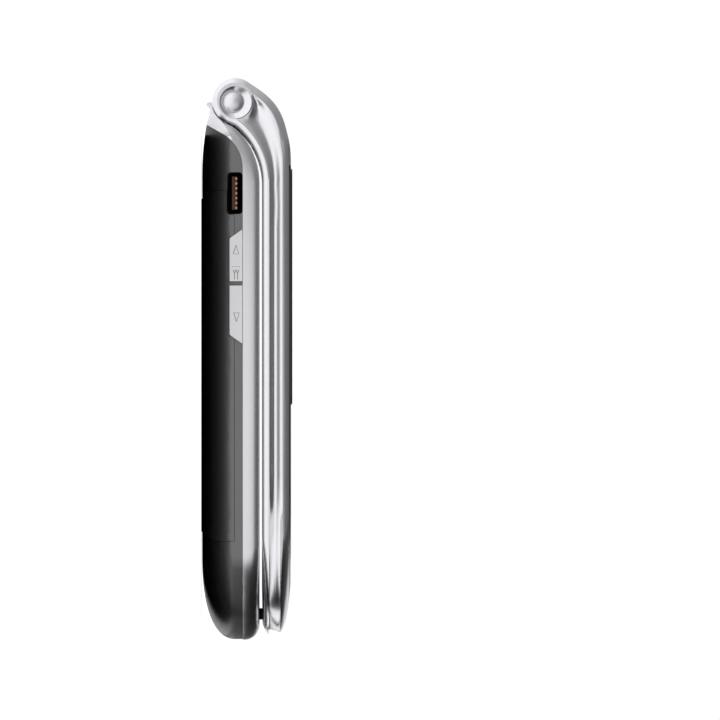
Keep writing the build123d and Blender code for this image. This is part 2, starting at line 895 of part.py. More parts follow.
def volume_outline(upper, grow):
    """One volume key seen from the left side, in (Y, Z)."""
    z0, z1 = volume_z - grow, seam_z - split_gap + grow
    middle = volume_split
    if upper:
        near = middle + volume_split_gap
        return Polyline((near - grow, z0), (volume_top - volume_slant + grow, z0),
                        (volume_top + grow, z1), (near - grow, z1), close=True)
    return Polyline((middle + grow, z0), (volume_bottom + volume_slant - grow, z0),
                    (volume_bottom - grow, z1), (middle + grow, z1), close=True)


def volume_prism(upper, grow, x0, x1):
    return extrude(Plane.YZ.offset(x0) * make_face(volume_outline(upper, grow)), x1 - x0,
                   dir=(1, 0, 0))


def volume_key(upper):
    """A volume key with its face, and a flange that keeps it behind the wall."""
    face_x = -half_width - volume_proud
    back_x = face_x + volume_depth
    body = volume_prism(upper, 0, face_x, back_x)
    top = volume_top + key_flange if upper else volume_split - 0.3
    low = volume_split + volume_split_gap + 0.3 if upper else volume_bottom - key_flange
    flange = block(-half_width + shell_wall + seat_gap, back_x, low, top,
                   volume_z + 0.2, seam_z - 0.3)
    return body + flange


def volume_pocket():
    """The room behind the wall for both volume keys and their switches, with a rib between."""
    x0, x1 = -half_width + shell_wall, -inner_half + 0.6
    room = block(x0, x1, volume_bottom - 2 * key_flange, volume_top + 2 * key_flange,
                 volume_z - 0.2, seam_z)
    return room - block(x0, x1, volume_split + volume_gap,
                        volume_split + volume_split_gap - volume_gap, volume_z - 0.2, seam_z)


def port_room(grow, x1):
    """The opening of the connector, open to the left side."""
    face = Pos(port_y, (port_z0 + port_z1) / 2) * RectangleRounded(
        port_length + 2 * grow, port_z1 - port_z0 + 2 * grow, port_corner)
    x0 = -half_width - 1
    return extrude(Plane.YZ.offset(x0) * face, x1 - x0, dir=(1, 0, 0))


def jack_room():
    """The pocket behind the wall for the body of the headset jack."""
    gap = split_gap
    x1 = half_width - jack_set_back
    return block(x1 - jack_length - gap, x1 + gap, jack_y - jack_body_half - gap,
                 jack_y + jack_body_half + gap, jack_z - jack_body_low - gap,
                 jack_z + jack_body_high + gap)


def base_screw_places():
    places = ((upper_screw_x, upper_screw_y), (lower_screw_x, lower_screw_y))
    return [(sx * x, y) for sx in (-1, 1) for x, y in places]


def cover_bend(edge, back):
    """A point halfway round the bend of the cover's end line, which starts upright."""
    drop = abs(edge - back)
    radius = (drop ** 2 + cover_bend_z ** 2) / (2 * drop)
    depth = cover_bend_z / 2
    inward = radius - sqrt(radius ** 2 - depth ** 2)
    return edge + inward * (1 if back > edge else -1), cover_bend_z - depth


def cover_side(grow):
    """The battery cover seen from the side, with its edges moved out by grow.

    The end lines stand upright down to the bend, so that the cover can leave the shell."""
    top, top_back = cover_top + grow, cover_top_back + grow
    low, low_back = cover_bottom - grow, cover_bottom_back - grow
    edge_z = facet_z - split_gap + grow
    return [
        Line((low, edge_z), (top, edge_z)),
        Line((top, edge_z), (top, cover_bend_z)),
        ThreePointArc((top, cover_bend_z), cover_bend(top, top_back), (top_back, 0)),
        Line((top_back, 0), (top_back, -1)),
        Line((top_back, -1), (low_back, -1)),
        Line((low_back, -1), (low_back, 0)),
        ThreePointArc((low_back, 0), cover_bend(low, low_back), (low, cover_bend_z)),
        Line((low, cover_bend_z), (low, edge_z)),
    ]


def side_fittings(grow):
    """What the cover and the shell leave free: port, jack boss and volume keys."""
    boss = rod(half_width - boss_length, half_width + 1, boss_r + grow, jack_y, jack_z)
    keys = volume_prism(True, grow, -half_width - 1, -half_width + 3)
    keys += volume_prism(False, grow, -half_width - 1, -half_width + 3)
    return port_room(grow, -half_width + 4), boss, keys


def battery_cover():
    shell = rear_form(0, 0) - rear_form(cover_wall, cover_wall)
    shell &= across(cover_side(-split_gap / 2))
    port, boss, keys = side_fittings(volume_gap)
    shell = shell - port - boss - keys
    shell -= volume_pocket()
    return shell


def rear_housing():
    """The black shell: both ends, the facet band, the battery bay and its floor."""
    skin = rear_form(0, cover_step)
    skin &= across(base_side())
    skin &= across(below_seam())
    inner = rear_form(cover_wall + cover_gap, cover_wall + cover_gap)
    pocket = across(cover_side(split_gap / 2)) - inner
    shell = skin - pocket
    bay = block(-half_width, half_width, bay_bottom, bay_top, 0, bay_floor_z) & rear_form(
        shell_wall, 0)
    shell -= bay
    deck = bay_floor_z + bay_floor
    room = slab(inner_half, end_y + board_end_gap - 0.3, cavity_top, corner_r - 2.9,
                top_corner_r, deck, seam_z + 1)
    shell -= room
    under = cover_wall + cover_gap + under_cover_wall
    shell -= rear_form(under, under) & block(-inner_half, inner_half, bay_top + shell_wall,
                                             cavity_top, under, deck + 0.1)
    shell -= rear_form(shell_wall, shell_wall + cover_step) & block(
        -inner_half, inner_half, end_y, bay_bottom - shell_wall, 0, deck + 0.1)
    shell -= connector_block(split_gap)
    shell -= sim_opening()
    port, boss, keys = side_fittings(0)
    shell -= port_room(0, port_x1() + split_gap)
    boss &= block(0, half_width, jack_y - 9, jack_y + 9, jack_z - 9, seam_z)
    shell += boss
    shell -= rod(half_width - boss_length - 1, half_width + 1, jack_bore_r, jack_y, jack_z)
    shell -= jack_room()
    for upper in (True, False):
        shell -= volume_prism(upper, volume_gap, -half_width - 1, -half_width + 2.4)
    shell -= volume_pocket()
    for x, y in base_screw_places():
        shell += peg(x, y, deck - 0.1, board_z - seat_gap, screw_r + boss_wall)
        shell -= peg(x, y, bay_floor_z - 1, board_z, screw_r + screw_fit)
    for sx in (-1, 1):
        x = sx * (battery_width / 2 + cover_gap + rail_width / 2)
        shell += block(x - rail_width / 2, x + rail_width / 2, bay_bottom, bay_top,
                       bay_floor_z - rail_depth, bay_floor_z + 0.1)
    shell -= flex_slot()
    return shell


def flex_slot():
    """The slot that takes the flexible circuit from the board to the hinge."""
    low = axis_z - flex_roll_r - 2 * flex_thick
    return block(flex_x0 - flex_side, flex_x1 + flex_side, cavity_top - 1, axis_y - 1.0,
                 low, low + 5 * flex_thick)


def base_bezel():
    """The silver frame round the keypad, with the saddle and the middle of the hinge."""
    frame = rear_form(-shell_step, cover_step) + bezel_form()
    frame &= across(base_side())
    frame -= across(below_seam())
    edge = rim_cut(base_depth, saddle_r, strut_end(), bezel_round_side, bezel_reach,
                   bezel_power, -1)
    for cut in both_sides(edge):
        frame -= cut
    ledge_z = panel_low - seat_gap
    wall = half_width - panel_half - 0.8
    frame -= slab(half_width - wall, end_y + wall + 0.1, seam_arc_start - 1.2,
                  corner_r - wall, top_corner_r, seam_z - 1, ledge_z - ledge_depth)
    frame -= slab(panel_half - ledge_width, end_y + panel_end_gap + ledge_width,
                  panel_top - ledge_width, corner_r - panel_end_gap - ledge_width,
                  top_corner_r, seam_z, ledge_z + 0.1)
    frame -= slab(panel_half + split_gap, end_y + panel_end_gap - split_gap,
                  panel_top + split_gap, corner_r - panel_end_gap + split_gap,
                  top_corner_r, ledge_z, base_depth + 1)
    for x, y in base_screw_places():
        frame += peg(x, y, board_top_z + seat_gap, ledge_z - ledge_depth + 0.1,
                     screw_r + boss_wall)
        frame -= peg(x, y, seam_z, ledge_z - 0.15, screw_r + screw_fit)
    frame += centre_barrel()
    frame -= rod(-centre_half - 1, -centre_half + bush_length / 2 + 0.1, bush_r + hinge_fit)
    frame -= rod(-centre_half - 1, flex_x1 + 2 * flex_side, bush_bore_r)
    grip = rod(centre_half - hinge_shaft_grip, centre_half + 1, hinge_shaft_r + hinge_fit)
    grip -= block(0, phone_width, axis_y - 3, axis_y + 3,
                  axis_z + hinge_shaft_r - hinge_shaft_flat + hinge_fit, axis_z + 3)
    frame -= grip
    return frame - flex_slot()


def centre_barrel():
    """The middle of the hinge barrel, joined to the saddle, with the lip behind it."""
    barrel = rod(-centre_half, centre_half, barrel_r)
    fill = rod(-centre_half, centre_half, saddle_r + 0.1)
    fill &= block(-centre_half, centre_half, axis_y - saddle_r - 1, strut_end()[0] - 0.3,
                  tip_z + 0.6, blend_points(base_depth, saddle_r)[-1][1])
    neck_z = tip_z + neck_thick / 2
    inside_z = axis_z - barrel_r + 1
    claw = Polyline((tip_y - 0.2, neck_z), (lip_y - 3 * neck_thick, neck_z + neck_thick),
                    (lip_y - neck_thick, lip_z + 0.1), (lip_y, lip_z),
                    (lip_y + lip_width, lip_z + neck_thick),
                    (axis_y, axis_z - barrel_r + 0.1), (axis_y + 0.3, inside_z),
                    (tip_y, inside_z), close=True)
    return barrel + fill + side_prism([claw], -centre_half, centre_half)


def keypad_panel():
    """The black plate round the keys."""
    panel = slab(panel_half, end_y + panel_end_gap, panel_top, corner_r - panel_end_gap,
                 top_corner_r, panel_low, panel_z)
    for _, x, y, width, height in keypad_layout():
        panel -= key_opening(x, y, width, height)
    panel -= peg(0, nav_y, panel_low - 1, panel_z + 1, nav_outer_r + key_gap)
    return panel - peg(0, mic_y, panel_low - 1, panel_z + 1, mic_hole_r)


def main_board():
    board = slab(board_half, end_y + board_end_gap, board_top, corner_r - board_end_gap - 1,
                 top_corner_r, board_z, board_top_z)
    board -= port_room(port_wall + split_gap, port_x1() + 2 * split_gap)
    board -= jack_room()
    for x, y in base_screw_places():
        board -= peg(x, y, board_z - 1, board_top_z + 1, screw_r + 3 * screw_fit)
    return board


def dome_sheet():
    """The snap domes under the keys on their film."""
    sheet = slab(board_half - 1.5, mic_y + mic_r + dome_mic_gap, panel_top - 2, sheet_corner_r,
                 top_corner_r, board_top_z, board_top_z + dome_film)
    for x, y in base_screw_places():
        sheet -= peg(x, y, board_z, board_top_z + 1, screw_r + boss_wall + 2 * screw_fit)
    ball = (dome_r ** 2 + dome_height ** 2) / (2 * dome_height)
    for x, y in stem_places():
        dome = Pos(x, y, board_top_z + dome_film + dome_height - ball) * Sphere(ball)
        sheet += dome & peg(x, y, board_top_z + dome_film - 0.02, board_top_z + 2, dome_r)
    return sheet


def can(x0, x1, y0, y1):
    """A pressed shielding can that hangs under the board."""
    z1 = board_z
    z0 = z1 - can_height
    inside = block(x0 + can_wall, x1 - can_wall, y0 + can_wall, y1 - can_wall,
                   z0 + can_wall, z1 + 1)
    return block(x0, x1, y0, y1, z0, z1) - inside


def battery():
    z0 = bay_floor_z - seat_gap - battery_depth
    low = bay_bottom + cover_gap
    plate = block(-battery_width / 2, battery_width / 2, low, low + battery_length, z0,
                  z0 + battery_depth)
    return fillet(plate.edges().filter_by(Axis.Y), 0.8)


def port_x1():
    """How far in the connector reaches."""
    return -half_width + port_recess + port_depth


def port_shell():
    x0 = -half_width + port_recess
    face = Pos(port_y, (port_z0 + port_z1) / 2) * RectangleRounded(
        port_length, port_z1 - port_z0, port_corner)
    hole = Pos(port_y, (port_z0 + port_z1) / 2) * RectangleRounded(
        port_length - 2 * port_wall, port_z1 - port_z0 - 2 * port_wall, port_corner - port_wall)
    shell = extrude(Plane.YZ.offset(x0) * face, port_depth, dir=(1, 0, 0))
    return shell - extrude(Plane.YZ.offset(x0 - 1) * hole, port_depth + 1 - port_wall,
                           dir=(1, 0, 0))


def port_tongue():
    x0 = -half_width + port_recess + tongue_set_back
    x1 = port_x1() - port_wall
    return block(x0, x1, port_y - tongue_length / 2, port_y + tongue_length / 2,
                 tongue_z() - tongue_thick / 2, tongue_z() + tongue_thick / 2)


def tongue_z():
    """The tongue lies a little nearer the back than the middle of the opening."""
    return (port_z0 + port_z1) / 2 - 0.1


def port_contacts():
    x0 = -half_width + port_recess + tongue_set_back
    x1 = port_x1() - port_wall - 0.3
    z0 = tongue_z() + tongue_thick / 2
    pins = []
    for k in range(contact_count):
        y = port_y + (k - (contact_count - 1) / 2) * contact_pitch
        pins.append(block(x0, x1, y - contact_width / 2, y + contact_width / 2, z0,
                          z0 + contact_thick))
    return Compound(pins)


def headset_jack():
    x1 = half_width - jack_set_back
    body = block(x1 - jack_length, x1, jack_y - jack_body_half, jack_y + jack_body_half,
                 jack_z - jack_body_low, jack_z + jack_body_high)
    body -= rod(x1 - jack_length + jack_wall, x1 + 1, jack_bore_r, jack_y, jack_z)
    return body - Compound(jack_springs(split_gap / 2))


def jack_springs(grow):
    """The two springs that touch the plug, seen as flats inside the round hole."""
    x1 = half_width - jack_set_back - jack_wall
    half = jack_spring_half + grow
    springs = []
    for sign in (-1, 1):
        y = jack_y + sign * (jack_flat / 2 + jack_spring_thick / 2)
        reach = jack_spring_thick / 2 + grow
        springs.append(block(x1 - jack_length / 2 - grow, x1 + grow, y - reach, y + reach,
                             jack_z - half, jack_z + half))
    return springs


def jack_contacts():
    return Compound(jack_springs(0))


def side_switches():
    """The two switches behind the volume keys, soldered to the edge of the board."""
    back = -half_width - volume_proud + volume_depth
    tip = back + volume_travel + switch_rest_gap
    upper_y = (volume_top - volume_slant + volume_split + volume_split_gap) / 2
    lower_y = (volume_bottom + volume_slant + volume_split) / 2
    switches = []
    for y in (upper_y, lower_y):
        body = block(tip + switch_plunger, -board_half - stack_gap, y - switch_half,
                     y + switch_half, board_z - 0.7, seam_z)
        plunger = rod(tip, tip + switch_plunger + 0.05, switch_plunger_r, y, board_z - 0.1)
        switches.append(body + plunger)
    return Compound(switches)


def screws(places, z_head, z_tip):
    """Screws with a cross slot: their heads at z_head and their tips at z_tip."""
    made = []
    for x, y in places:
        head = peg(x, y, z_head, z_head + screw_head, screw_head_r)
        for half_x, half_y in ((screw_slot_half, screw_slot_wide),
                               (screw_slot_wide, screw_slot_half)):
            head -= block(x - half_x, x + half_x, y - half_y, y + half_y, z_head - 1,
                          z_head + screw_head / 2)
        made.append(head + peg(x, y, z_head + screw_head, z_tip, screw_r))
    return Compound(made)


def lid_blank():
    return side_prism(lid_side(), -half_width, half_width) & lid_envelope() & lid_form()


def front_panel_plate(grow, z0, z1):
    """The plan of the black front panel between two heights."""
    inset = front_panel_inset - grow
    return slab(half_width - inset, lid_end_y + front_panel_end - grow, front_panel_top + grow,
                corner_r - inset, top_corner_r, z0, z1)


def screw_bosses():
    return [(sx * x, y) for sx in (-1, 1) for x, y in ((lid_screw_x, lid_screw_top),
                                                      (lid_screw_low_x, lid_screw_bottom))]


def lid_room(z0, z1):
    """The hollow of the lid, in plan."""
    wall = half_width - lid_wall_half
    return slab(lid_wall_half, lid_end_y + wall + 0.1, lid_room_top, corner_r - wall,
                top_corner_r, z0, z1)


def lid_shell():
    """The silver shell of the lid with its rims, scooped sides and outer hinge barrels."""
    shell = lid_blank()
    edge = rim_cut(lid_z, barrel_r, barrel_back(), lid_inner_side, lid_inner_round,
                   lid_inner_power, 1)
    for cut in both_sides(edge):
        shell -= cut
    channel = across(scoop_side())
    hinge_end = block(-half_width - 2, half_width + 2, saddle_arc_start, phone_length / 2, -1,
                      lid_top)
    shell -= (channel - hinge_end) - scoop_form()
    for cut in both_sides(scoop_hinge_cut()):
        shell -= cut & channel & hinge_end
    for sign in (-1, 1):
        x0, x1 = sorted((sign * (half_width - scoop_depth - 0.05), sign * half_width))
        shell += rod(x0, x1, ring_r)
    shell -= block(-half_width - 1, half_width + 1, end_y - 1, front_panel_top + split_gap,
                   rim_top, lid_top + 1)
    floor = lid_top - front_panel_thick
    shell -= front_panel_plate(split_gap, floor, lid_top + 1)
    shell -= lid_room(-1, lid_roof_z)
    shell -= block(-outer_screen_half - screen_gap, outer_screen_half + screen_gap,
                   outer_screen_bottom - screen_gap, outer_screen_top + screen_gap,
                   lid_roof_z - 1, floor + 1)
    for x, y in screw_bosses():
        shell += peg(x, y, frame_back + seat_gap, lid_roof_z + 0.1, screw_r + boss_wall)
        shell -= peg(x, y, frame_back, lid_roof_z + 0.1, screw_r + screw_fit)
    side = centre_half + barrel_side_clear
    shell -= rod(-side, side, saddle_r)
    shell -= block(-side, side, axis_y, axis_y + 9, -1, lid_top + 1)
    for sign in (-1, 1):
        shell -= dish(sign)
        y, z = axis_y + cap_shift[0], axis_z + cap_shift[1]
        x0, x1 = sorted((sign * (half_width - dish_depth - 0.05), sign * (half_width + 1)))
        shell -= rod(x0, x1, cap_r + cap_fit, y, z)
        x0, x1 = sorted((sign * (half_width - cap_stem_length() - 0.1), sign * half_width))
        shell -= rod(x0, x1, cap_stem_r + cap_fit, y, z)
    shell -= rod(side - 1, side + hinge_can_length + 0.5, hinge_can_r + hinge_fit)
    shell -= rod(-side - bush_length / 2 - 0.1, -side + 1, bush_r + hinge_fit)
    shell -= rod(lid_flex_x0 - 2 * flex_room, -side, bush_bore_r)
    return shell - display_flex_room()


def dish(sign):
    """The slanted dish round a hinge cap, which lies a little off its middle."""
    sections = []
    for share in (0.0, 1.2):
        y = axis_y + cap_shift[0] + (dish_shift[0] - cap_shift[0]) * share
        z = axis_z + cap_shift[1] + (dish_shift[1] - cap_shift[1]) * share
        x = sign * (half_width - dish_depth * (1 - share))
        circle = Circle(cap_r + (dish_r - cap_r) * share)
        sections.append(Plane((x, y, z), x_dir=(0, 1, 0), z_dir=(1, 0, 0)) * circle)
    return loft(sections, ruled=True)


def cap_stem_length():
    """How far the end cap's stem reaches in from the side of the phone."""
    return dish_depth + 1.4


def hinge_cap(sign):
    """The domed cap in the dish at the end of the hinge."""
    stem_x = half_width - cap_stem_length()
    base_x = half_width - dish_depth
    crown_x = half_width - seat_gap
    rim_x = crown_x - cap_dome
    ball = (cap_r ** 2 + cap_dome ** 2) / (2 * cap_dome)
    turn = asin(cap_r / ball) / 2
    mid = (crown_x - ball + ball * cos(turn), ball * sin(turn))
    half_section = [
        Line((stem_x, 0), (stem_x, cap_stem_r)),
        Line((stem_x, cap_stem_r), (base_x, cap_stem_r)),
        Line((base_x, cap_stem_r), (base_x, cap_r)),
        Line((base_x, cap_r), (rim_x, cap_r)),
        ThreePointArc((rim_x, cap_r), mid, (crown_x, 0)),
        Line((crown_x, 0), (stem_x, 0)),
    ]
    cap = Pos(0, axis_y + cap_shift[0], axis_z + cap_shift[1]) * revolve(
        make_face(half_section), Axis.X)
    return cap if sign > 0 else mirror(cap, Plane.YZ)


def lid_inner_frame():
    """The frame round the main screen, which follows the inner face of the lid."""
    low, high = inner_frame_drop, inner_frame_drop + inner_frame_thick
    top_y = inner_frame_top + 2
    mid_y = (saddle_arc_start + top_y) / 2
    z0, z1 = lid_z + low, lid_z + high
    edges = [
        Line((end_y, z0), (saddle_arc_start, z0)),
        ThreePointArc((saddle_arc_start, z0), lid_arc_point(low, mid_y),
                      lid_arc_point(low, top_y)),
        Line(lid_arc_point(low, top_y), lid_arc_point(high, top_y)),
        ThreePointArc(lid_arc_point(high, top_y), lid_arc_point(high, mid_y),
                      (saddle_arc_start, z1)),
        Line((saddle_arc_start, z1), (end_y, z1)),
        Line((end_y, z1), (end_y, z0)),
    ]
    wall = half_width - lid_wall_half
    plan = slab(lid_wall_half - split_gap, lid_end_y + wall + 0.1 + split_gap,
                inner_frame_top, corner_r - wall - split_gap, top_corner_r, 0, lid_top)
    frame = across(edges) & plan
    frame -= inner_window_plate(split_gap, lid_z - 1, window_back())
    rim = inner_window_rim
    frame -= block(rim - main_screen_half, main_screen_half - rim, main_screen_bottom + rim,
                   main_screen_top - rim, 0, lid_top)
    for x, y in screw_bosses():
        frame -= peg(x, y, 0, lid_z + inner_frame_drop + 0.7, screw_head_r + 0.1)
        frame -= peg(x, y, 0, lid_top, screw_r + screw_fit)
    for sx in (-1, 1):
        frame -= peg(sx * bumper_x, bumper_y, 0, lid_z + inner_frame_drop + bumper_root,
                     bumper_r)
    for k in (-1, 0, 1):
        frame -= button_plate(0, ear_y + k * 1.0, 2 * ear_half_x - 4, 0.5, 0.24, 0, lid_top)
    return frame


def window_back():
    """The upper face of the inner window, on the ledge of the frame."""
    return lid_z + inner_frame_drop + inner_window_thick


def inner_window_plate(grow, z0, z1):
    rim = inner_window_rim
    x = main_screen_half + rim + grow
    y0, y1 = main_screen_bottom - rim - grow, main_screen_top + rim + grow
    return button_plate(0, (y0 + y1) / 2, 2 * x, y1 - y0, 1.0, z0, z1)


def inner_window():
    return inner_window_plate(0, lid_z + inner_frame_drop + 0.03, window_back())


def main_display():
    return block(-main_screen_half, main_screen_half, main_screen_bottom, main_screen_top,
                 frame_back + stack_gap, lid_board_z - stack_gap)


def earpiece():
    z0 = frame_back + stack_gap
    return button_plate(0, ear_y, 2 * ear_half_x, 2 * ear_half_y, 1.2, z0, z0 + ear_thick)


def lid_board():
    return block(-lid_board_half, lid_board_half, lid_board_bottom, lid_board_top, lid_board_z,
                 lid_board_z + lid_board_thick)


def outer_display():
    return block(-outer_screen_half, outer_screen_half, outer_screen_bottom, outer_screen_top,
                 lid_board_z + lid_board_thick + outer_screen_room,
                 lid_top - front_panel_thick - stack_gap)


def front_panel():
    """The black front of the lid, which stands a little proud of the silver rim."""
    floor = lid_top - front_panel_thick
    panel = lid_form() & front_panel_plate(0, floor, lid_top + 1)
    panel -= window_plate(split_gap, lid_top + window_proud - window_thick, lid_top + 1)
    rim = outer_screen_rim
    panel -= block(rim - outer_screen_half, outer_screen_half - rim,
                   outer_screen_bottom + rim, outer_screen_top - rim, floor - 1, lid_top + 1)
    return panel


def window_plate(grow, z0, z1):
    length = window_top - window_bottom
    return button_plate(0, (window_top + window_bottom) / 2, 2 * (window_half + grow),
                        length + 2 * grow, 2.0, z0, z1)


def outer_window():
    """The glossy window over the small screen, proud of the front panel."""
    plate = window_plate(0, lid_top + window_proud - window_thick, lid_top + window_proud)
    rim = [e for e in plate.edges() if e.center().Z > lid_top + window_proud - 0.01]
    return chamfer(rim, window_bevel)


def lid_bumpers():
    pads = []
    for sx in (-1, 1):
        pads.append(peg(sx * bumper_x, bumper_y, panel_z + bumper_clear,
                        lid_z + inner_frame_drop + bumper_root, bumper_r))
    return Compound(pads)


def hinge_can():
    """The sprung hinge cartridge, held in the lid's right barrel."""
    x0 = centre_half + barrel_side_clear + 0.3
    x1 = x0 + hinge_can_length
    wall = hinge_can_wall
    can_body = rod(x0, x1, hinge_can_r) - rod(x0 + wall, x1 - wall, hinge_can_r - wall)
    return can_body - rod(x0 - 1, x0 + 1, hinge_shaft_r + hinge_fit)


def hinge_shaft():
    """The keyed shaft of the cartridge, held by its flat in the base's barrel."""
    x0 = centre_half - hinge_shaft_grip + 0.1
    x1 = centre_half + barrel_side_clear + 0.3 + hinge_can_length - hinge_can_wall - 0.1
    shaft = rod(x0, x1, hinge_shaft_r)
    cam_x = centre_half + barrel_side_clear + 0.3 + hinge_can_wall + 0.1
    shaft += rod(cam_x, cam_x + 1.4, hinge_can_r - hinge_can_wall - hinge_fit)
    return shaft - block(x0 - 1, centre_half + 0.1, axis_y - 3, axis_y + 3,
                         axis_z + hinge_shaft_r - hinge_shaft_flat, axis_z + 3)


def hinge_bush():
    """The hollow bush that carries the left barrel and lets the flexible circuit through."""
    x1 = -centre_half + bush_length / 2
    x0 = -centre_half - barrel_side_clear - bush_length / 2
    return rod(x0, x1, bush_r) - rod(x0 - 1, x1 + 1, bush_bore_r)


def base_flex():
    """The base's end of the flexible circuit: a roll in the hinge and a tail to the board."""
    roll = rod(flex_x0 - 1.5, flex_x1 + flex_side, flex_roll_r)
    roll -= rod(flex_x0 - 3, flex_x1 + 3, flex_roll_r - 2 * flex_thick)
    z0 = axis_z - flex_roll_r
    y0 = board_top - 1.0
    tail = block(flex_x0, flex_x1, y0, axis_y, z0, z0 + flex_thick)
    riser = block(flex_x0, flex_x1, y0, y0 + flex_thick, z0, board_z - seat_gap)
    return roll + tail + riser


def display_flex_room():
    """The channels in the lid for its end of the flexible circuit."""
    x0, x1 = lid_flex_tail_x0 - flex_room, lid_flex_tail_x1 + flex_room
    y0 = axis_y - lid_flex_back - flex_room
    y1 = axis_y - lid_flex_back + flex_thick + flex_room
    z = axis_z + lid_flex_rise
    top = z + flex_thick + flex_room
    up = block(x0, x1, y0, y1, axis_z + flex_roll_r - 2 * flex_thick, top)
    return up + block(x0, x1, lid_room_top - 0.5, y1, z - flex_room, top)


def display_flex():
    """The lid's end of the flexible circuit: a roll, and a tail to the lid's board."""
    thick = flex_thick
    x0, x1 = lid_flex_tail_x0, lid_flex_tail_x1
    roll = rod(lid_flex_x0, lid_flex_x1, flex_roll_r)
    roll -= rod(lid_flex_x0 - 1, lid_flex_x1 + 1, flex_roll_r - 2 * thick)
    y = axis_y - lid_flex_back
    z = axis_z + lid_flex_rise
    turn_y = lid_room_top - 0.8
    low = lid_board_z
    riser = block(x0, lid_flex_x1, y, y + thick, axis_z + flex_roll_r - thick, z + thick)
    along = block(x0, x1, turn_y, y + thick, z, z + thick)
    up = block(x0, x1, turn_y, turn_y + thick, z, low)
    tail = block(x0, x1, lid_flex_end_y, turn_y + thick, low - thick, low)
    return roll + riser + along + up + tail


def connector_block(grow):
    """The battery connector, which looks through the end wall of the battery bay."""
    half = battery_contact_half + grow
    low, high = battery_contact_z - grow, battery_contact_z + battery_contact_high + grow
    deep = bay_top + shell_wall + battery_contact_deep + grow
    return block(-half, half, bay_top - seat_gap, deep, low, high)


def battery_contacts():
    """The connector's block with its three sprung fingers on the battery's end."""
    shape = connector_block(0)
    for k in (-1, 0, 1):
        x = k * battery_contact_pitch
        z = battery_contact_z + battery_contact_high / 2
        shape += block(x - finger_half, x + finger_half, bay_top - cover_gap, bay_top,
                       z - finger_thick, z + finger_thick)
    return shape


def sim_box():
    """Where the card holder lies: between the middle and the right upper screw."""
    return sim_inner_x, can_reach, board_mid_y + can_split, board_top - sim_gap


def sim_opening():
    """The window in the floor of the bay over the card holder."""
    x0, x1, y0, y1 = sim_box()
    deck = bay_floor_z + bay_floor
    return block(x0 + 1, x1 - 1, y0 + 1, y1 - 1, bay_floor_z - 1, deck + 1)


def sim_holder():
    return can(*sim_box())


def shield_cans():
    """The cans over the radio and the processor, on the back of the board."""
    radio = can(-can_reach, 0, board_mid_y + can_split, board_top - radio_can_gap)
    processor = can(-processor_can_half, processor_can_half, board_low_y + processor_can_end,
                    board_mid_y - processor_can_gap)
    return Compound([radio, processor])


def under_board(shape_height):
    """The lower face of a part of that height that hangs under the board."""
    return board_z - seat_gap - shape_height


def loudspeaker():
    low = under_board(speaker_depth)
    body = button_plate(0, speaker_y, speaker_width, speaker_height, 1.5, low,
                        low + speaker_depth)
    return body - button_plate(0, speaker_y, speaker_width - 3, speaker_height - 3, 1.0,
                               low - 1, low + 0.4)


def vibration_motor():
    low = under_board(motor_depth)
    x, y = motor_x, motor_y
    return peg(x, y, low, low + motor_depth, motor_r) + block(
        x - 2.0, x + 2.0, y + motor_r - 0.5, y + motor_r + 1.0, low + motor_depth - 0.4,
        low + motor_depth)


def antenna():
    """The antenna's plastic carrier in the free end of the base."""
    x0, x1 = antenna_x
    y0, y1 = antenna_y, antenna_y + antenna_length
    low = under_board(antenna_depth)
    hollow = block(x0 + 0.8, x1 - 0.8, y0 + 0.8, y1 - 0.8, low - 1, low + antenna_depth - 0.8)
    return block(x0, x1, y0, y1, low, low + antenna_depth) - hollow


def microphone():
    return peg(0, mic_y, board_top_z, board_top_z + 1.1, mic_r)


def base_screws():
    head = bay_floor_z - screw_head
    return screws(base_screw_places(), head, panel_low - seat_gap - 0.25)


def lid_screws():
    head = lid_z + inner_frame_drop + screw_sink
    return screws(screw_bosses(), head, lid_roof_z - screw_sink)


makers = {
    "rear_housing": rear_housing,
    "base_bezel": base_bezel,
    "keypad_panel": keypad_panel,
    "main_board": main_board,
    "shield_cans": shield_cans,
    "sim_holder": sim_holder,
    "dome_sheet": dome_sheet,
    "battery": battery,
    "battery_contacts": battery_contacts,
    "battery_cover": battery_cover,
    "port_shell": port_shell,
    "port_tongue": port_tongue,
    "port_contacts": port_contacts,
    "headset_jack": headset_jack,
    "jack_contacts": jack_contacts,
    "side_switches": side_switches,
    "vibration_motor": vibration_motor,
    "microphone": microphone,
    "loudspeaker": loudspeaker,
    "antenna": antenna,
    "base_screws": base_screws,
    "hinge_shaft": hinge_shaft,
    "hinge_bush": hinge_bush,
    "base_flex": base_flex,
    "lid_shell": lid_shell,
    "front_panel": front_panel,
    "outer_window": outer_window,
    "outer_display": outer_display,
    "lid_inner_frame": lid_inner_frame,
    "inner_window": inner_window,
    "main_display": main_display,
    "lid_board": lid_board,
    "earpiece": earpiece,
    "lid_bumpers": lid_bumpers,
    "lid_screws": lid_screws,
    "hinge_can": hinge_can,
    "display_flex": display_flex,
    "nav_ring": nav_ring,
    "nav_ok_key": nav_ok_key,
}
shapes = {name: make() for name, make in makers.items()}
shapes["hinge_cap_left"] = hinge_cap(-1)
shapes["hinge_cap_right"] = hinge_cap(1)
shapes["volume_up_key"] = volume_key(True)
shapes["volume_down_key"] = volume_key(False)
for name, x, y, width, height in keypad_layout():
    shapes[name] = rectangular_key(x, y, width, height)

os.makedirs("parts", exist_ok=True)
for name, shape in shapes.items():
    export_step(shape, f"parts/{name}.step")
    print(name, len(shape.solids()), round(shape.volume, 1))
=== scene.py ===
import json
import math

import bmesh
import bpy
from mathutils import Matrix, Vector
from mathutils.bvhtree import BVHTree


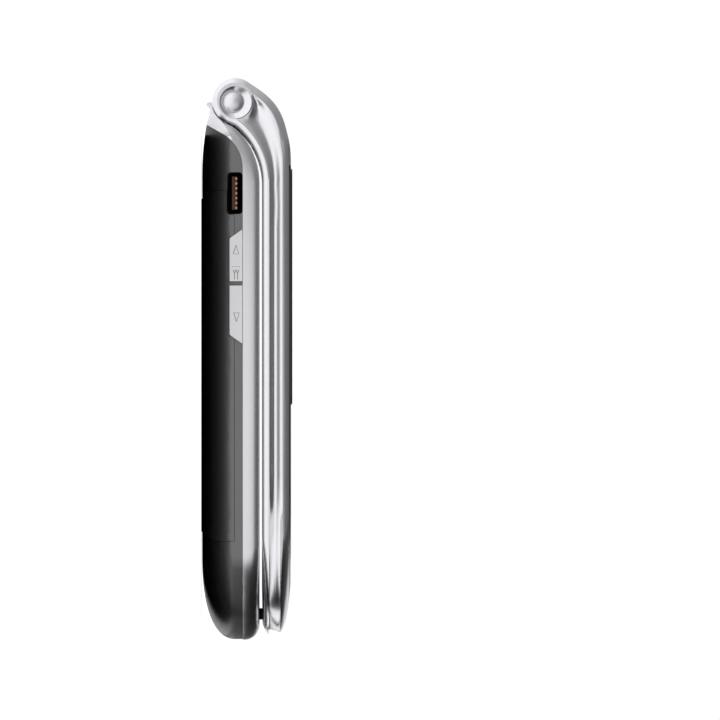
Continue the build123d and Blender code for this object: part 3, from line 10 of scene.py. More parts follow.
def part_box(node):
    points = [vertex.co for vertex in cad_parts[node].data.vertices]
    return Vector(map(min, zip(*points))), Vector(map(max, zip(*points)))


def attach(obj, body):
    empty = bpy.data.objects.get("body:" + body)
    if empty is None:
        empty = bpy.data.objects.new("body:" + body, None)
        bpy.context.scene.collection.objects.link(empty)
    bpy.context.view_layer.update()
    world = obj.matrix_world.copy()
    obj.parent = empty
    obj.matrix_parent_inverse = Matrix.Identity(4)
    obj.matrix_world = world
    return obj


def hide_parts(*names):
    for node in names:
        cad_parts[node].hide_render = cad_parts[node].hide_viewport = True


# A closed flip phone that lies on its back. Metres, +Z towards the lid, +Y towards the hinge.
# The camera looks along +X at the left side, and the hinge is up in its picture.

mm = 0.001

# The camera's view: the picture's width at the phone, and where the camera stands and aims
picture_width = 127.9 * mm
camera_distance = 3500 * mm
left_side = -25 * mm
eye_height = 10.6 * mm
aim_y = -0.09 * mm
aim_z = 28.24 * mm

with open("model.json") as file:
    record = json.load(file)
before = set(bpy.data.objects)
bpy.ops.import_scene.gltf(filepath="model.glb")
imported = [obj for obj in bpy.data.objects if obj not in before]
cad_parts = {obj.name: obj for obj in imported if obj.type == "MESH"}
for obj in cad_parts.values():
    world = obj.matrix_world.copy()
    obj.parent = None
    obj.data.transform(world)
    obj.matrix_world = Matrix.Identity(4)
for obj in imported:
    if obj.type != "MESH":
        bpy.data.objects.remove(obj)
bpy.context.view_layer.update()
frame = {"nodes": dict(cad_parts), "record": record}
nodes = frame["nodes"]


def colour(text):
    """An sRGB hex value as linear red, green, blue and a full alpha."""
    parts = [int(text[k:k + 2], 16) / 255 for k in (1, 3, 5)]
    return [p / 12.92 if p <= 0.04045 else ((p + 0.055) / 1.055) ** 2.4 for p in parts] + [1.0]


def add(tree, kind, settings=None, links=None):
    """Add a node to a tree with its settings and its incoming links."""
    made = tree.nodes.new(kind)
    for name, value in (settings or {}).items():
        if isinstance(name, int) or name in made.inputs:
            made.inputs[name].default_value = value
        else:
            setattr(made, name, value)
    for name, source in (links or {}).items():
        tree.links.new(source, made.inputs[name])
    return made


# Camera and studio

room_light = 0.45
floor_size, floor_shade, floor_glow = 6.0, "#e6e6e6", 0.68
# Stops of (place, brightness). The tent's places are parts of its radius, the card's are metres.
tent_radius = 500 * mm
tent_along = [(-1.0, 0.04), (-0.35, 0.06), (-0.05, 0.5), (0.15, 0.8), (0.5, 1.15), (1.0, 1.2)]
tent_above = [(0.0, 1.0), (0.25, 0.85), (0.48, 0.26), (0.68, 0.36), (1.0, 0.2)]
side_reach = 200 * mm
side_ends = (-110 * mm, 110 * mm)
side_height = 110 * mm
side_along = [(-0.11, 0.05), (-0.075, 0.75), (-0.05, 2.0), (-0.01, 1.8), (0.03, 0.6), (0.06, 0.35),
              (0.11, 0.6)]
side_above = [(0.0, 1.0), (0.06, 1.0), (0.11, 0.6)]
table_lane = [(0.012, 0.0), (0.0262, 0.0), (0.0285, 0.1), (0.0335, 0.3), (0.037, 1.25),
              (0.052, 1.25), (0.065, 1.0), (0.12, 0.8), (0.4, 0.6)]
table_ends = (-500 * mm, 40 * mm)
table_z = 0.05 * mm
side_box_place, side_box_aim = Vector((0.2, -0.02, 0.05)), (0, -0.015, 0.012)
side_box_size, side_box_watts = (0.12, 0.09), 0.045
top_box_place, top_box_size, top_box_watts = (0.0, 0.1, 0.6), (0.5, 0.5), 1.2


def make_camera():
    data = bpy.data.cameras.new("camera")
    data.type = "PERSP"
    data.sensor_width = 36.0
    data.lens = data.sensor_width * camera_distance / picture_width
    data.clip_start, data.clip_end = 0.1, 20.0
    camera = bpy.data.objects.new("camera", data)
    bpy.context.scene.collection.objects.link(camera)
    eye = Vector((left_side - camera_distance, aim_y, eye_height))
    aim = Vector((left_side, aim_y, aim_z))
    back = (eye - aim).normalized()
    up = Vector((0, 1, 0))
    camera.location = eye
    camera.rotation_mode = "QUATERNION"
    camera.rotation_quaternion = Matrix((up.cross(back), up, back)).transposed().to_quaternion()
    bpy.context.scene.camera = camera


def seen_white(tree, strength, seen=1.0):
    """seen for the camera, a reflection or a view through glass, otherwise strength."""
    path = add(tree, "ShaderNodeLightPath")
    first = add(tree, "ShaderNodeMath", {"operation": "MAXIMUM"},
                {0: path.outputs["Is Camera Ray"], 1: path.outputs["Is Glossy Ray"]})
    both = add(tree, "ShaderNodeMath", {"operation": "MAXIMUM"},
               {0: first.outputs[0], 1: path.outputs["Is Transmission Ray"]})
    return add(tree, "ShaderNodeMapRange", {"To Min": strength, "To Max": seen},
               {"Value": both.outputs[0]}).outputs[0]


def make_world():
    world = bpy.data.worlds.new("studio")
    world.use_nodes = True
    tree = world.node_tree
    tree.nodes.clear()
    light = add(tree, "ShaderNodeBackground", {"Color": colour("#ffffff")},
                {"Strength": seen_white(tree, room_light)})
    add(tree, "ShaderNodeOutputWorld", None, {"Surface": light.outputs[0]})
    bpy.context.scene.world = world


def lamp(name, place, aim, size, watts):
    """A soft rectangular lamp. The cards below are what the silver reflects in its place."""
    data = bpy.data.lights.new(name, "AREA")
    data.shape = "RECTANGLE"
    data.size, data.size_y = size
    data.energy = watts
    made = bpy.data.objects.new(name, data)
    bpy.context.scene.collection.objects.link(made)
    made.location = place
    made.rotation_mode = "QUATERNION"
    made.rotation_quaternion = (Vector(place) - Vector(aim)).to_track_quat("Z", "Y")
    made.visible_camera = False
    made.visible_glossy = False


def make_floor():
    bpy.ops.mesh.primitive_plane_add(size=floor_size)
    floor = bpy.context.object
    floor.name = "floor"
    material = bpy.data.materials.new("pale_paper")
    material.use_nodes = True
    tree = material.node_tree
    tree.nodes.clear()
    paper = add(tree, "ShaderNodeBsdfDiffuse", {"Color": colour(floor_shade)})
    glow = add(tree, "ShaderNodeEmission", {"Color": colour("#ffffff")},
               {"Strength": seen_white(tree, 0.0, floor_glow)})
    both = add(tree, "ShaderNodeAddShader", None, {0: paper.outputs[0], 1: glow.outputs[0]})
    add(tree, "ShaderNodeOutputMaterial", None, {"Surface": both.outputs[0]})
    floor.data.materials.append(material)


def ramp(tree, value, stops, smoothing="B_SPLINE"):
    """A brightness that follows stops of (value, brightness)."""
    made = add(tree, "ShaderNodeValToRGB")
    low, high = stops[0][0], stops[-1][0]
    scaled = add(tree, "ShaderNodeMapRange", {"From Min": low, "From Max": high},
                 {"Value": value}).outputs[0]
    tree.links.new(scaled, made.inputs["Fac"])
    made.color_ramp.interpolation = smoothing
    while len(made.color_ramp.elements) < len(stops):
        made.color_ramp.elements.new(0.5)
    for element, (place, level) in zip(made.color_ramp.elements, stops):
        element.position = (place - low) / (high - low)
        element.color = (level, level, level, 1)
    return made.outputs["Color"]


def card(name, mesh, strength_of):
    """A graded card that only shows in reflections, as a tent round a shiny object does."""
    made = bpy.data.objects.new(name, mesh)
    bpy.context.scene.collection.objects.link(made)
    material = bpy.data.materials.new(name)
    material.use_nodes = True
    tree = material.node_tree
    tree.nodes.clear()
    place = add(tree, "ShaderNodeTexCoord").outputs["Object"]
    glow = add(tree, "ShaderNodeEmission", {"Color": colour("#ffffff")},
               {"Strength": strength_of(tree, place)})
    add(tree, "ShaderNodeOutputMaterial", None, {"Surface": glow.outputs[0]})
    mesh.materials.append(material)
    made.visible_camera = False
    made.visible_diffuse = False
    made.visible_shadow = False


def tent_strength(tree, place):
    """Bright from behind the hinge, dark from the free end, dimmer overhead."""
    way = add(tree, "ShaderNodeVectorMath", {"operation": "NORMALIZE"}, {0: place}).outputs[0]
    axes = add(tree, "ShaderNodeSeparateXYZ", None, {0: way}).outputs
    along = ramp(tree, axes["Y"], tent_along)
    above = ramp(tree, axes["Z"], tent_above)
    return add(tree, "ShaderNodeMath", {"operation": "MULTIPLY"}, {0: along, 1: above}).outputs[0]


def make_tent():
    mesh = bpy.data.meshes.new("tent")
    form = bmesh.new()
    bmesh.ops.create_uvsphere(form, u_segments=48, v_segments=24, radius=tent_radius)
    below = [vert for vert in form.verts if vert.co.z < -0.001]
    bmesh.ops.delete(form, geom=below, context="VERTS")
    form.to_mesh(mesh)
    form.free()
    card("tent", mesh, tent_strength)


def side_strength(tree, place):
    """Brightest beside the free half, so that the flat sides fade towards the hinge."""
    axes = add(tree, "ShaderNodeSeparateXYZ", None, {0: place}).outputs
    along = ramp(tree, axes["Y"], side_along)
    above = ramp(tree, axes["Z"], side_above)
    return add(tree, "ShaderNodeMath", {"operation": "MULTIPLY"}, {0: along, 1: above}).outputs[0]


def make_side_card(side):
    mesh = bpy.data.meshes.new("side_card")
    x, (y0, y1), z1 = side * side_reach, side_ends, side_height
    mesh.from_pydata([(x, y0, 0), (x, y1, 0), (x, y1, z1), (x, y0, z1)], [], [(0, 1, 2, 3)])
    card("side_card", mesh, side_strength)


def table_strength(tree, place):
    """Black beside the phone, a bright lane, then dim: what the shell and the rims reflect."""
    axes = add(tree, "ShaderNodeSeparateXYZ", None, {0: place}).outputs
    away = add(tree, "ShaderNodeMath", {"operation": "ABSOLUTE"}, {0: axes["X"]}).outputs[0]
    return ramp(tree, away, table_lane, "EASE")


def make_table_card(side):
    mesh = bpy.data.meshes.new("table_card")
    near, far = side * table_lane[0][0], side * table_lane[-1][0]
    (y0, y1), z = table_ends, table_z
    mesh.from_pydata([(near, y0, z), (far, y0, z), (far, y1, z), (near, y1, z)], [],
                     [(0, 1, 2, 3)])
    card("table_card", mesh, table_strength)


make_camera()
make_world()
make_floor()
make_tent()
for side in (-1, 1):
    make_side_card(side)
    make_table_card(side)
    lamp("side_box", side_box_place * Vector((side, 1, 1)), side_box_aim, side_box_size,
         side_box_watts)
lamp("top_box", top_box_place, (0, 0, 0), top_box_size, top_box_watts)

bpy.context.scene.view_settings.view_transform = "Standard"


# Materials

# Sizes of the patterns, as far across as one spot
cloud_size = 9.0 * mm
handling_size = 14.0 * mm
flake_size = 0.2 * mm
shell_grain_size = 0.35 * mm
rub_size = 0.8 * mm

# Painted sheen: how far the shell's colour goes over to its painted sheen shade where it faces
# sideways by this much
painted_sheen_stops = [(0.5, 0.02), (0.75, 0.1), (0.9, 0.22), (0.98, 0.34), (0.998, 1.0)]


def start(name):
    """A material with an empty tree, and the place on the piece that its patterns read."""
    material = bpy.data.materials.new(name)
    material.use_nodes = True
    tree = material.node_tree
    tree.nodes.clear()
    place = add(tree, "ShaderNodeTexCoord").outputs["Object"]
    return material, tree, place


def close(tree, settings, links):
    """End the tree with its surface."""
    shader = add(tree, "ShaderNodeBsdfPrincipled", settings, links)
    add(tree, "ShaderNodeOutputMaterial", None, {"Surface": shader.outputs[0]})


def uneven(tree, roughness, fine, fine_by, broad, broad_by):
    """A roughness that wavers with a fine pattern and with a broad one."""
    near = add(tree, "ShaderNodeMapRange",
               {"To Min": roughness - fine_by, "To Max": roughness + fine_by}, {"Value": fine})
    far = add(tree, "ShaderNodeMapRange", {"To Min": -broad_by, "To Max": broad_by},
              {"Value": broad})
    return add(tree, "ShaderNodeMath", {"operation": "ADD"},
               {0: near.outputs[0], 1: far.outputs[0]}).outputs[0]


def silver_lacquer(name, shade, roughness):
    """Moulded ABS sprayed with silver metallic lacquer: a soft sheen with fine flakes.
    The flakes are 0.05 mm and are drawn at 0.2 mm, so that they just show."""
    material, tree, place = start(name)
    flakes = add(tree, "ShaderNodeTexNoise", {"Scale": 1 / flake_size, "Detail": 1.0},
                 {"Vector": place}).outputs[0]
    cloud = add(tree, "ShaderNodeTexNoise", {"Scale": 1 / cloud_size, "Detail": 2.0},
                {"Vector": place}).outputs[0]
    relief = add(tree, "ShaderNodeBump", {"Strength": 0.12, "Distance": 0.002 * mm},
                 {"Height": flakes}).outputs[0]
    close(tree, {"Base Color": colour(shade), "Metallic": 1.0},
          {"Roughness": uneven(tree, roughness, flakes, 0.03, cloud, 0.02), "Normal": relief})
    return material


def moulded(name, shade, roughness, grain_size=0.35 * mm, depth=0.006 * mm, strength=0.25):
    """Moulded plastic with a fine spark-eroded grain, which breaks up its highlights."""
    material, tree, place = start(name)
    pits = add(tree, "ShaderNodeTexNoise", {"Scale": 1 / grain_size, "Detail": 2.0},
               {"Vector": place}).outputs[0]
    handled = add(tree, "ShaderNodeTexNoise", {"Scale": 1 / handling_size, "Detail": 2.0},
                  {"Vector": place}).outputs[0]
    relief = add(tree, "ShaderNodeBump", {"Strength": strength, "Distance": depth},
                 {"Height": pits}).outputs[0]
    close(tree, {"Base Color": colour(shade)},
          {"Roughness": uneven(tree, roughness, pits, 0.04, handled, 0.03), "Normal": relief})
    return material


def plated(name, shade, roughness):
    """Pressed or turned metal with a thin plating and fine handling marks."""
    material, tree, place = start(name)
    marks = add(tree, "ShaderNodeTexNoise", {"Scale": 1 / rub_size, "Detail": 3.0},
                {"Vector": place}).outputs[0]
    relief = add(tree, "ShaderNodeBump", {"Strength": 0.1, "Distance": 0.003 * mm},
                 {"Height": marks}).outputs[0]
    worn = add(tree, "ShaderNodeMapRange",
               {"To Min": roughness - 0.05, "To Max": roughness + 0.08}, {"Value": marks})
    close(tree, {"Base Color": colour(shade), "Metallic": 1.0},
          {"Roughness": worn.outputs[0], "Normal": relief})
    return material


def shell_lacquer(name, shade, painted_sheen_shade):
    """Moulded ABS under a satin lacquer: near black on the back. Its colour has a painted sheen,
    lighter
    the more it faces sideways: a painted reflection of what the sides and their flats mirror."""
    material, tree, place = start(name)
    pits = add(tree, "ShaderNodeTexNoise", {"Scale": 1 / shell_grain_size, "Detail": 2.0},
               {"Vector": place}).outputs[0]
    relief = add(tree, "ShaderNodeBump", {"Strength": 0.12, "Distance": 0.003 * mm},
                 {"Height": pits}).outputs[0]
    satin = add(tree, "ShaderNodeMapRange", {"To Min": 0.3, "To Max": 0.38}, {"Value": pits})
    facing = add(tree, "ShaderNodeSeparateXYZ", None,
                 {0: add(tree, "ShaderNodeNewGeometry").outputs["Normal"]}).outputs["X"]
    sideways = add(tree, "ShaderNodeMath", {"operation": "ABSOLUTE"}, {0: facing}).outputs[0]
    # Painted reflection: the colour goes over to the painted sheen shade where the surface faces
    # sideways
    flat = ramp(tree, sideways, painted_sheen_stops, "LINEAR")
    lacquer_and_painted_sheen = add(tree, "ShaderNodeMix", {"data_type": "RGBA", 6: colour(shade),
                                         7: colour(painted_sheen_shade)}, {0: flat})
    close(tree, {"Specular IOR Level": 0.9},
          {"Base Color": lacquer_and_painted_sheen.outputs[2], "Roughness": satin.outputs[0], "Normal": relief})
    return material


# One finish for each slot. The silver pieces differ in how thick their coat is, the moulded ones
# in their grain: a polished mould for window and screen glass, a fine one for the front
materials = {
    "silver_case": silver_lacquer("silver_lacquered_abs", "#dddde1", 0.24),
    "silver_cap": silver_lacquer("silver_lacquered_cap", "#e2e2e6", 0.3),
    "silver_key": silver_lacquer("silver_lacquered_key", "#e6e6e8", 0.45),
    # The black shell's lighter second colour is a painted sheen on its sides and flats, not its
    # own paint
    "black_shell": shell_lacquer("black_lacquered_abs", "#101012", "#6a6a6c"),
    "black_front": moulded("black_satin_abs", "#111113", 0.25, 0.3 * mm, 0.003 * mm, 0.1),
    "window": moulded("smoked_acrylic", "#060608", 0.07, 3.0 * mm, 0.001 * mm, 0.02),
    "screen": moulded("dark_screen_glass", "#0b0d10", 0.1, 3.0 * mm, 0.001 * mm, 0.02),
    "circuit_board": moulded("green_solder_mask", "#1d4a2c", 0.35, 0.8 * mm, 0.02 * mm, 0.3),
    "plated_steel": plated("tinned_steel", "#b9b9b6", 0.3),
    "screw_steel": plated("zinc_plated_steel", "#8f9092", 0.35),
    "gold_contact": plated("gold_flashed_bronze", "#d8b25a", 0.25),
    "connector_plastic": moulded("black_nylon", "#141414", 0.5),
    "tongue_plastic": moulded("red_brown_nylon", "#4a1a10", 0.5),
    "dome_film": moulded("polyester_film", "#c9c9c2", 0.3),
    "battery_wrap": moulded("dark_battery_wrap", "#2a2b2e", 0.4),
    "bush_plastic": moulded("white_acetal", "#e4e2d8", 0.35),
    "flex_film": moulded("amber_polyimide", "#8a4a14", 0.3),
    "bumper_rubber": moulded("black_rubber", "#0c0c0c", 0.75),
    "keypad_key": moulded("dark_key_plastic", "#1b1c1f", 0.3, 0.3 * mm, 0.003 * mm, 0.1),
    "green_key": moulded("green_key_plastic", "#1f5a32", 0.3, 0.3 * mm, 0.003 * mm, 0.1),
    "red_key": moulded("red_key_plastic", "#7a1d1d", 0.3, 0.3 * mm, 0.003 * mm, 0.1),
}
# What differs from the plain finish of its slot: the connector and the jack are darker inside,
# the caps have a thicker and softer coat, and the contacts are rubbed dull by plugs
soft_cap = silver_lacquer("soft_silver_cap", "#dedee2", 0.36)
own_finish = {
    "port_shell": plated("blackened_steel", "#0a0a0b", 0.45),
    "headset_jack": moulded("maroon_nylon", "#3a0a06", 0.5),
    "hinge_cap_left": soft_cap,
    "hinge_cap_right": soft_cap,
    "port_contacts": plated("dull_gold_flash", "#c9a578", 0.4),
}
# Pad printing: a thin ink, matt beside the keys' lacquer
mark_ink = moulded("grey_pad_print", "#8d8d90", 0.6)
key_ink = moulded("white_pad_print", "#d6d8dc", 0.5)

slots = {part["node"]: part["material_slot"] for part in frame["record"]["subparts"]}
for node_name, node_object in nodes.items():
    look = own_finish.get(node_name, materials[slots[node_name]])
    for slot in node_object.material_slots:
        slot.material = look


# The cases, shaded smooth, and what the scene adds to the solids

crease_deg, slab_crease_deg, cap_crease_deg = 16.0, 50.0, 40.0
merge_gap = 0.001 * mm


def smooth_copy(node, material):
    """A merged copy of a CAD node with soft shading across its curved faces."""
    source = nodes[node]
    mesh = source.data.copy()
    mesh.name = node + "_skin"
    form = bmesh.new()
    form.from_mesh(mesh)
    bmesh.ops.remove_doubles(form, verts=form.verts, dist=merge_gap)
    bmesh.ops.dissolve_degenerate(form, edges=form.edges, dist=merge_gap / 10)
    for face in form.faces:
        face.smooth = True
    for edge in form.edges:
        edge.smooth = edge.is_manifold and edge.calc_face_angle(0.0) < math.radians(crease_deg)
    form.to_mesh(mesh)
    form.free()
    mesh.materials.clear()
    mesh.materials.append(material)
    piece = bpy.data.objects.new(mesh.name, mesh)
    bpy.context.scene.collection.objects.link(piece)
    weighted = piece.modifiers.new("shading", "WEIGHTED_NORMAL")
    weighted.keep_sharp = True
    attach(piece, body_of[node])
    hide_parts(node)
    return piece


body_of = {node: body for body, held in frame["record"]["behaviour"]["bodies"].items()
           for node in held}
skins = {}
for node in ("lid_shell", "base_bezel", "rear_housing", "battery_cover", "front_panel"):
    skins[node] = smooth_copy(node, materials[slots[node]])


# The scooped channel of the lid, as one smooth floor from the inner rim to the outer one.
# These sizes are in millimetres, and places on the side are (y, z).

# The hinge's ring, the angle at which the channel leaves it, and the inner rim's arc below it
axis_y, axis_z = 45.95, 6.05
ring_r = 3.25
ring_leave_deg = 69.0
arc_y, arc_z, arc_r = 31.4, -2.17, 14.25
# The straight sides' two rims, and the rounded corners of the free end
inner_z, outer_z = 12.08, 14.5
half_width = 25.0
lid_end_y, corner_r = -49.05, 16.0
# The crest between the channel and the brow
crest = [(47.11, 9.08), (46.1, 10.66), (44.3, 12.25), (41.65, 13.5), (37.2, 14.3), (34.4, 14.5),
         (arc_y, outer_z)]
# Depths below the widest outline, and how far across the channel its valley lies
rim_depth, crest_depth, valley_depth, valley_share = 0.1, 0.145, 0.6, 0.41
corner_blend = 0.6
# How the floor is divided: across, round the ring, round the arc, along the side, round a corner
columns, ring_rows, arc_rows, side_rows, corner_rows = 26, 30, 40, 15, 24
side_step = 4.0
column_crowd = 1.5
# The floor's thickness, and the room that the lid's skin leaves over and under it at the hinge
slab_thick, cut_above, cut_below = 0.5, 1.0, 0.05
cut_end_y, cut_skipped_rows, cut_short = 32.0, 2, 0.85
# Where the free end's edge is rounded, and how far the floor dips under that rounding
rounding_y, rounding_proud, rounding_dip = -25.0, 0.06, 0.1
rounding_from, rounding_over = 0.65, 0.3
# Where the solid counts as having come up to the crest
crest_near, crest_step, crest_steps, crest_reached = 0.85, 0.004, 80, 0.125
ray_start = 2.0
spline_steps, bisections = 20, 50


def smooth_step(share):
    share = min(max(share, 0.0), 1.0)
    return share * share * (3 - 2 * share)


def crest_points(count):
    """Points along the crest between the channel and the brow, evenly spaced."""
    fine = []
    for k in range(len(crest) - 1):
        before, here = crest[max(k - 1, 0)], crest[k]
        there, after = crest[k + 1], crest[min(k + 2, len(crest) - 1)]
        for step in range(spline_steps):
            t = step / spline_steps
            fine.append([0.5 * (2 * here[i] + (there[i] - before[i]) * t
                                + (2 * before[i] - 5 * here[i] + 4 * there[i] - after[i]) * t ** 2
                                + (3 * here[i] - before[i] - 3 * there[i] + after[i]) * t ** 3)
                         for i in (0, 1)])
    fine.append(list(crest[-1]))
    lengths = [0.0]
    for one, two in zip(fine, fine[1:]):
        lengths.append(lengths[-1] + math.dist(one, two))
    points, k = [], 0
    for step in range(count):
        want = lengths[-1] * step / (count - 1)
        while k < len(lengths) - 2 and lengths[k + 1] < want:
            k += 1
        part = (want - lengths[k]) / max(lengths[k + 1] - lengths[k], 1e-9)
        points.append(tuple(fine[k][i] + (fine[k + 1][i] - fine[k][i]) * part for i in (0, 1)))
    return points


def meet_turn():
    """The angle on the hinge's ring where the inner rim runs into it."""
    low, high = math.radians(ring_leave_deg), math.pi
    for _ in range(bisections):
        turn = (low + high) / 2
        y, z = axis_y + ring_r * math.cos(turn), axis_z + ring_r * math.sin(turn)
        inside = math.hypot(y - arc_y, z - arc_z) < arc_r
        low, high = (low, turn) if inside else (turn, high)
    return low


def to_inner(y, z):
    """How far a place in the channel is from the inner rim or the ring, whichever is nearer."""
    rim = math.hypot(y - arc_y, z - arc_z) - arc_r if y > arc_y else z - inner_z
    ring = math.hypot(y - axis_y, z - axis_z) - ring_r
    both = math.exp(-rim / corner_blend) + math.exp(-ring / corner_blend)
    return max(-corner_blend * math.log(both), 0.0)


def channel_depth(inward, outward):
    """The channel's depth at distances from its inner and its outer edge."""
    width = inward + outward
    valley_at = max(valley_share * width, 0.01)
    rise = smooth_step(inward / valley_at)
    along = max(inward - valley_at * 0.9, 0.0) / (width - valley_at * 0.9 + 0.01)
    fall = 0.5 * (1 + math.cos(math.pi * min(along, 1.0)))
    edge = rim_depth + (crest_depth - rim_depth) * smooth_step(inward / (width + 0.01))
    return edge + valley_depth * min(width / 2.0, 1.0) * rise * fall


def shell_depth(shell, point, outward):
    """How deep the lid's own surface lies below the widest outline there."""
    hit = shell.ray_cast((point + outward * ray_start) * mm, -outward)
    return None if hit[0] is None else hit[3] / mm - ray_start


def crest_share(shell, near, far):
    """The share of the way from near to far at which the channel comes up to the crest."""
    for step in range(crest_steps):
        share = crest_near + step * crest_step
        y, z = (near[i] + (far[i] - near[i]) * share for i in (0, 1))
        depth = shell_depth(shell, Vector((-half_width, y, z)), Vector((-1, 0, 0)))
        if depth is not None and depth < crest_reached:
            return share
    return 1.0


def evened(values, reach=3):
    """The values with each replaced by the middle one of its neighbours, then averaged."""
    def around(held, k):
        return held[max(k - reach, 0):k + reach + 1]
    middle = [sorted(around(values, k))[len(around(values, k)) // 2] for k in range(len(values))]
    return [sum(around(middle, k)) / len(around(middle, k)) for k in range(len(values))]


def channel_rows(shell):
    """Rows of (point, outward direction, depth) across the channel of the left side, from the
    tip at the hinge to the middle of the free end."""
    rows = []
    rise = outer_z - inner_z
    meet = meet_turn()
    leave = math.radians(ring_leave_deg)
    meet_y, meet_z = axis_y + ring_r * math.cos(meet), axis_z + ring_r * math.sin(meet)
    last = math.atan2(meet_z - arc_z, meet_y - arc_y)
    inner = [(axis_y + ring_r * math.cos(leave + (meet - leave) * k / ring_rows),
              axis_z + ring_r * math.sin(leave + (meet - leave) * k / ring_rows))
             for k in range(ring_rows)]
    inner += [(arc_y + arc_r * math.cos(last + (math.pi / 2 - last) * k / arc_rows),
               arc_z + arc_r * math.sin(last + (math.pi / 2 - last) * k / arc_rows))
              for k in range(arc_rows + 1)]
    outer = crest_points(len(inner))
    shares = evened([crest_share(shell, near, far) for near, far in zip(inner, outer)])
    outer = [tuple(near[i] + (far[i] - near[i]) * share for i in (0, 1))
             for near, far, share in zip(inner, outer, shares)]
    for near, far in zip(inner, outer):
        row = []
        for k in range(columns + 1):
            share = (k / columns) ** column_crowd
            y, z = (near[i] + (far[i] - near[i]) * share for i in (0, 1))
            outward = min(math.dist((y, z), place) for place in outer)
            depth = channel_depth(to_inner(y, z), outward)
            row.append((Vector((-half_width, y, z)), Vector((-1, 0, 0)), depth))
        rows.append(row)
    plan = [((-half_width, arc_y - side_step * k), (-1, 0)) for k in range(1, side_rows + 1)]
    for k in range(corner_rows + 1):
        turn = math.radians(180 + 90 * k / corner_rows)
        plan.append(((corner_r - half_width + corner_r * math.cos(turn),
                      lid_end_y + corner_r + corner_r * math.sin(turn)),
                     (math.cos(turn), math.sin(turn))))
    plan.append(((0.0, lid_end_y), (0, -1)))
    for (x, y), (out_x, out_y) in plan:
        rows.append([(Vector((x, y, inner_z + rise * k / columns)), Vector((out_x, out_y, 0)),
                      channel_depth(rise * k / columns, rise * (1 - k / columns)))
                     for k in range(columns + 1)])
    return rows


def below_rounding(rows, shell):
    """Keep the outer part of the channel's floor under the rounded edge of the free end."""
    kept = []
    for row in rows:
        new_row = []
        for k, (point, outward, depth) in enumerate(row):
            cad = shell_depth(shell, point, outward) if point.y < rounding_y else None
            if cad is not None:
                dip = smooth_step((k / columns - rounding_from) / rounding_over)
                depth = max(depth, cad - rounding_proud + rounding_dip * dip)
            new_row.append((point, outward, depth))
        kept.append(new_row)
    return kept


def slab_mesh(name, rows, over, under):
    """A closed slab that follows rows: over and under give the depths of its two faces."""
    form = bmesh.new()
    tops = [[form.verts.new((p - o * over(d)) * mm) for p, o, d in row] for row in rows]
    lows = [[form.verts.new((p - o * under(d)) * mm) for p, o, d in row] for row in rows]
    last = len(rows[0]) - 1
    for one, two, low_one, low_two in zip(tops, tops[1:], lows, lows[1:]):
        for k in range(last):
            form.faces.new((one[k], one[k + 1], two[k + 1], two[k]))
            form.faces.new((low_one[k], low_two[k], low_two[k + 1], low_one[k + 1]))
        form.faces.new((one[0], two[0], low_two[0], low_one[0]))
        form.faces.new((one[last], low_one[last], low_two[last], two[last]))
    for top, low in ((tops[0], lows[0]), (tops[-1], lows[-1])):
        for k in range(last):
            form.faces.new((top[k], low[k], low[k + 1], top[k + 1]))
    bmesh.ops.recalc_face_normals(form, faces=form.faces)
    # The recalculation leaves the channel's floor inside out, so such a slab is turned back
    if form.calc_volume(signed=True) < 0:
        bmesh.ops.reverse_faces(form, faces=form.faces)
    for face in form.faces:
        face.smooth = True
    for edge in form.edges:
        edge.smooth = edge.calc_face_angle(0.0) < math.radians(slab_crease_deg)
    mesh = bpy.data.meshes.new(name)
    form.to_mesh(mesh)
    form.free()
    return mesh


def mirrored(rows):
    """The rows on the other side of the phone."""
    return [[(Vector((-p.x, p.y, p.z)), Vector((-o.x, o.y, o.z)), d) for p, o, d in row]
            for row in rows]


def make_channel():
    """The channel's floor, and the lid's skin cut away over it at the hinge."""
    lid = skins["lid_shell"]
    source = nodes["lid_shell"].data
    shell = BVHTree.FromPolygons([v.co[:] for v in source.vertices],
                                 [f.vertices[:] for f in source.polygons])
    left = below_rounding(channel_rows(shell), shell)
    whole = left + list(reversed(mirrored(left)))[1:]
    floor = slab_mesh("channel_floor", whole, lambda d: d, lambda d: d + slab_thick)
    floor.materials.append(materials["silver_case"])
    piece = bpy.data.objects.new("channel_floor", floor)
    bpy.context.scene.collection.objects.link(piece)
    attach(piece, "lid")
    hinge_rows = []
    for row in left[cut_skipped_rows:]:
        if row[0][0].y > cut_end_y:
            near, (far, outward, depth) = row[-2][0], row[-1]
            hinge_rows.append(row[:-1] + [(near.lerp(far, cut_short), outward, depth)])
    for side, rows in (("left", hinge_rows), ("right", mirrored(hinge_rows))):
        cutter = bpy.data.objects.new("cutter_" + side, slab_mesh(
            "cutter_" + side, rows, lambda d: -cut_above, lambda d: d + cut_below))
        bpy.context.scene.collection.objects.link(cutter)
        cut = lid.modifiers.new("cut_" + side, "BOOLEAN")
        cut.operation = "DIFFERENCE"
        cut.solver = "EXACT"
        cut.object = cutter
        lid.modifiers.move(len(lid.modifiers) - 1, 0)
    graph = bpy.context.evaluated_depsgraph_get()
    made = bpy.data.meshes.new_from_object(lid.evaluated_get(graph))
    lid.modifiers.clear()
    lid.data = made
    for side in ("left", "right"):
        bpy.data.objects.remove(bpy.data.objects["cutter_" + side])


make_channel()


# Helpers for the small pieces

def piece_of(name, mesh, material, body, slot, *replaced):
    """An object for a finished mesh that rides on a body, and stands for a node if named."""
    mesh.materials.clear()
    mesh.materials.append(material)
    piece = bpy.data.objects.new(name, mesh)
    bpy.context.scene.collection.objects.link(piece)
    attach(piece, body)
    if replaced:
        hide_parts(*replaced)
    return piece


def prism(form, outline, to_point, low, high):
    """Add a closed plate to a form: its outline is placed at two levels by to_point."""
    bottom = [form.verts.new(to_point(u, v, low)) for u, v in outline]
    top = [form.verts.new(to_point(u, v, high)) for u, v in outline]
    form.faces.new(bottom)
    form.faces.new(top)
    for k in range(len(outline)):
        after = (k + 1) % len(outline)
        form.faces.new((bottom[k], bottom[after], top[after], top[k]))


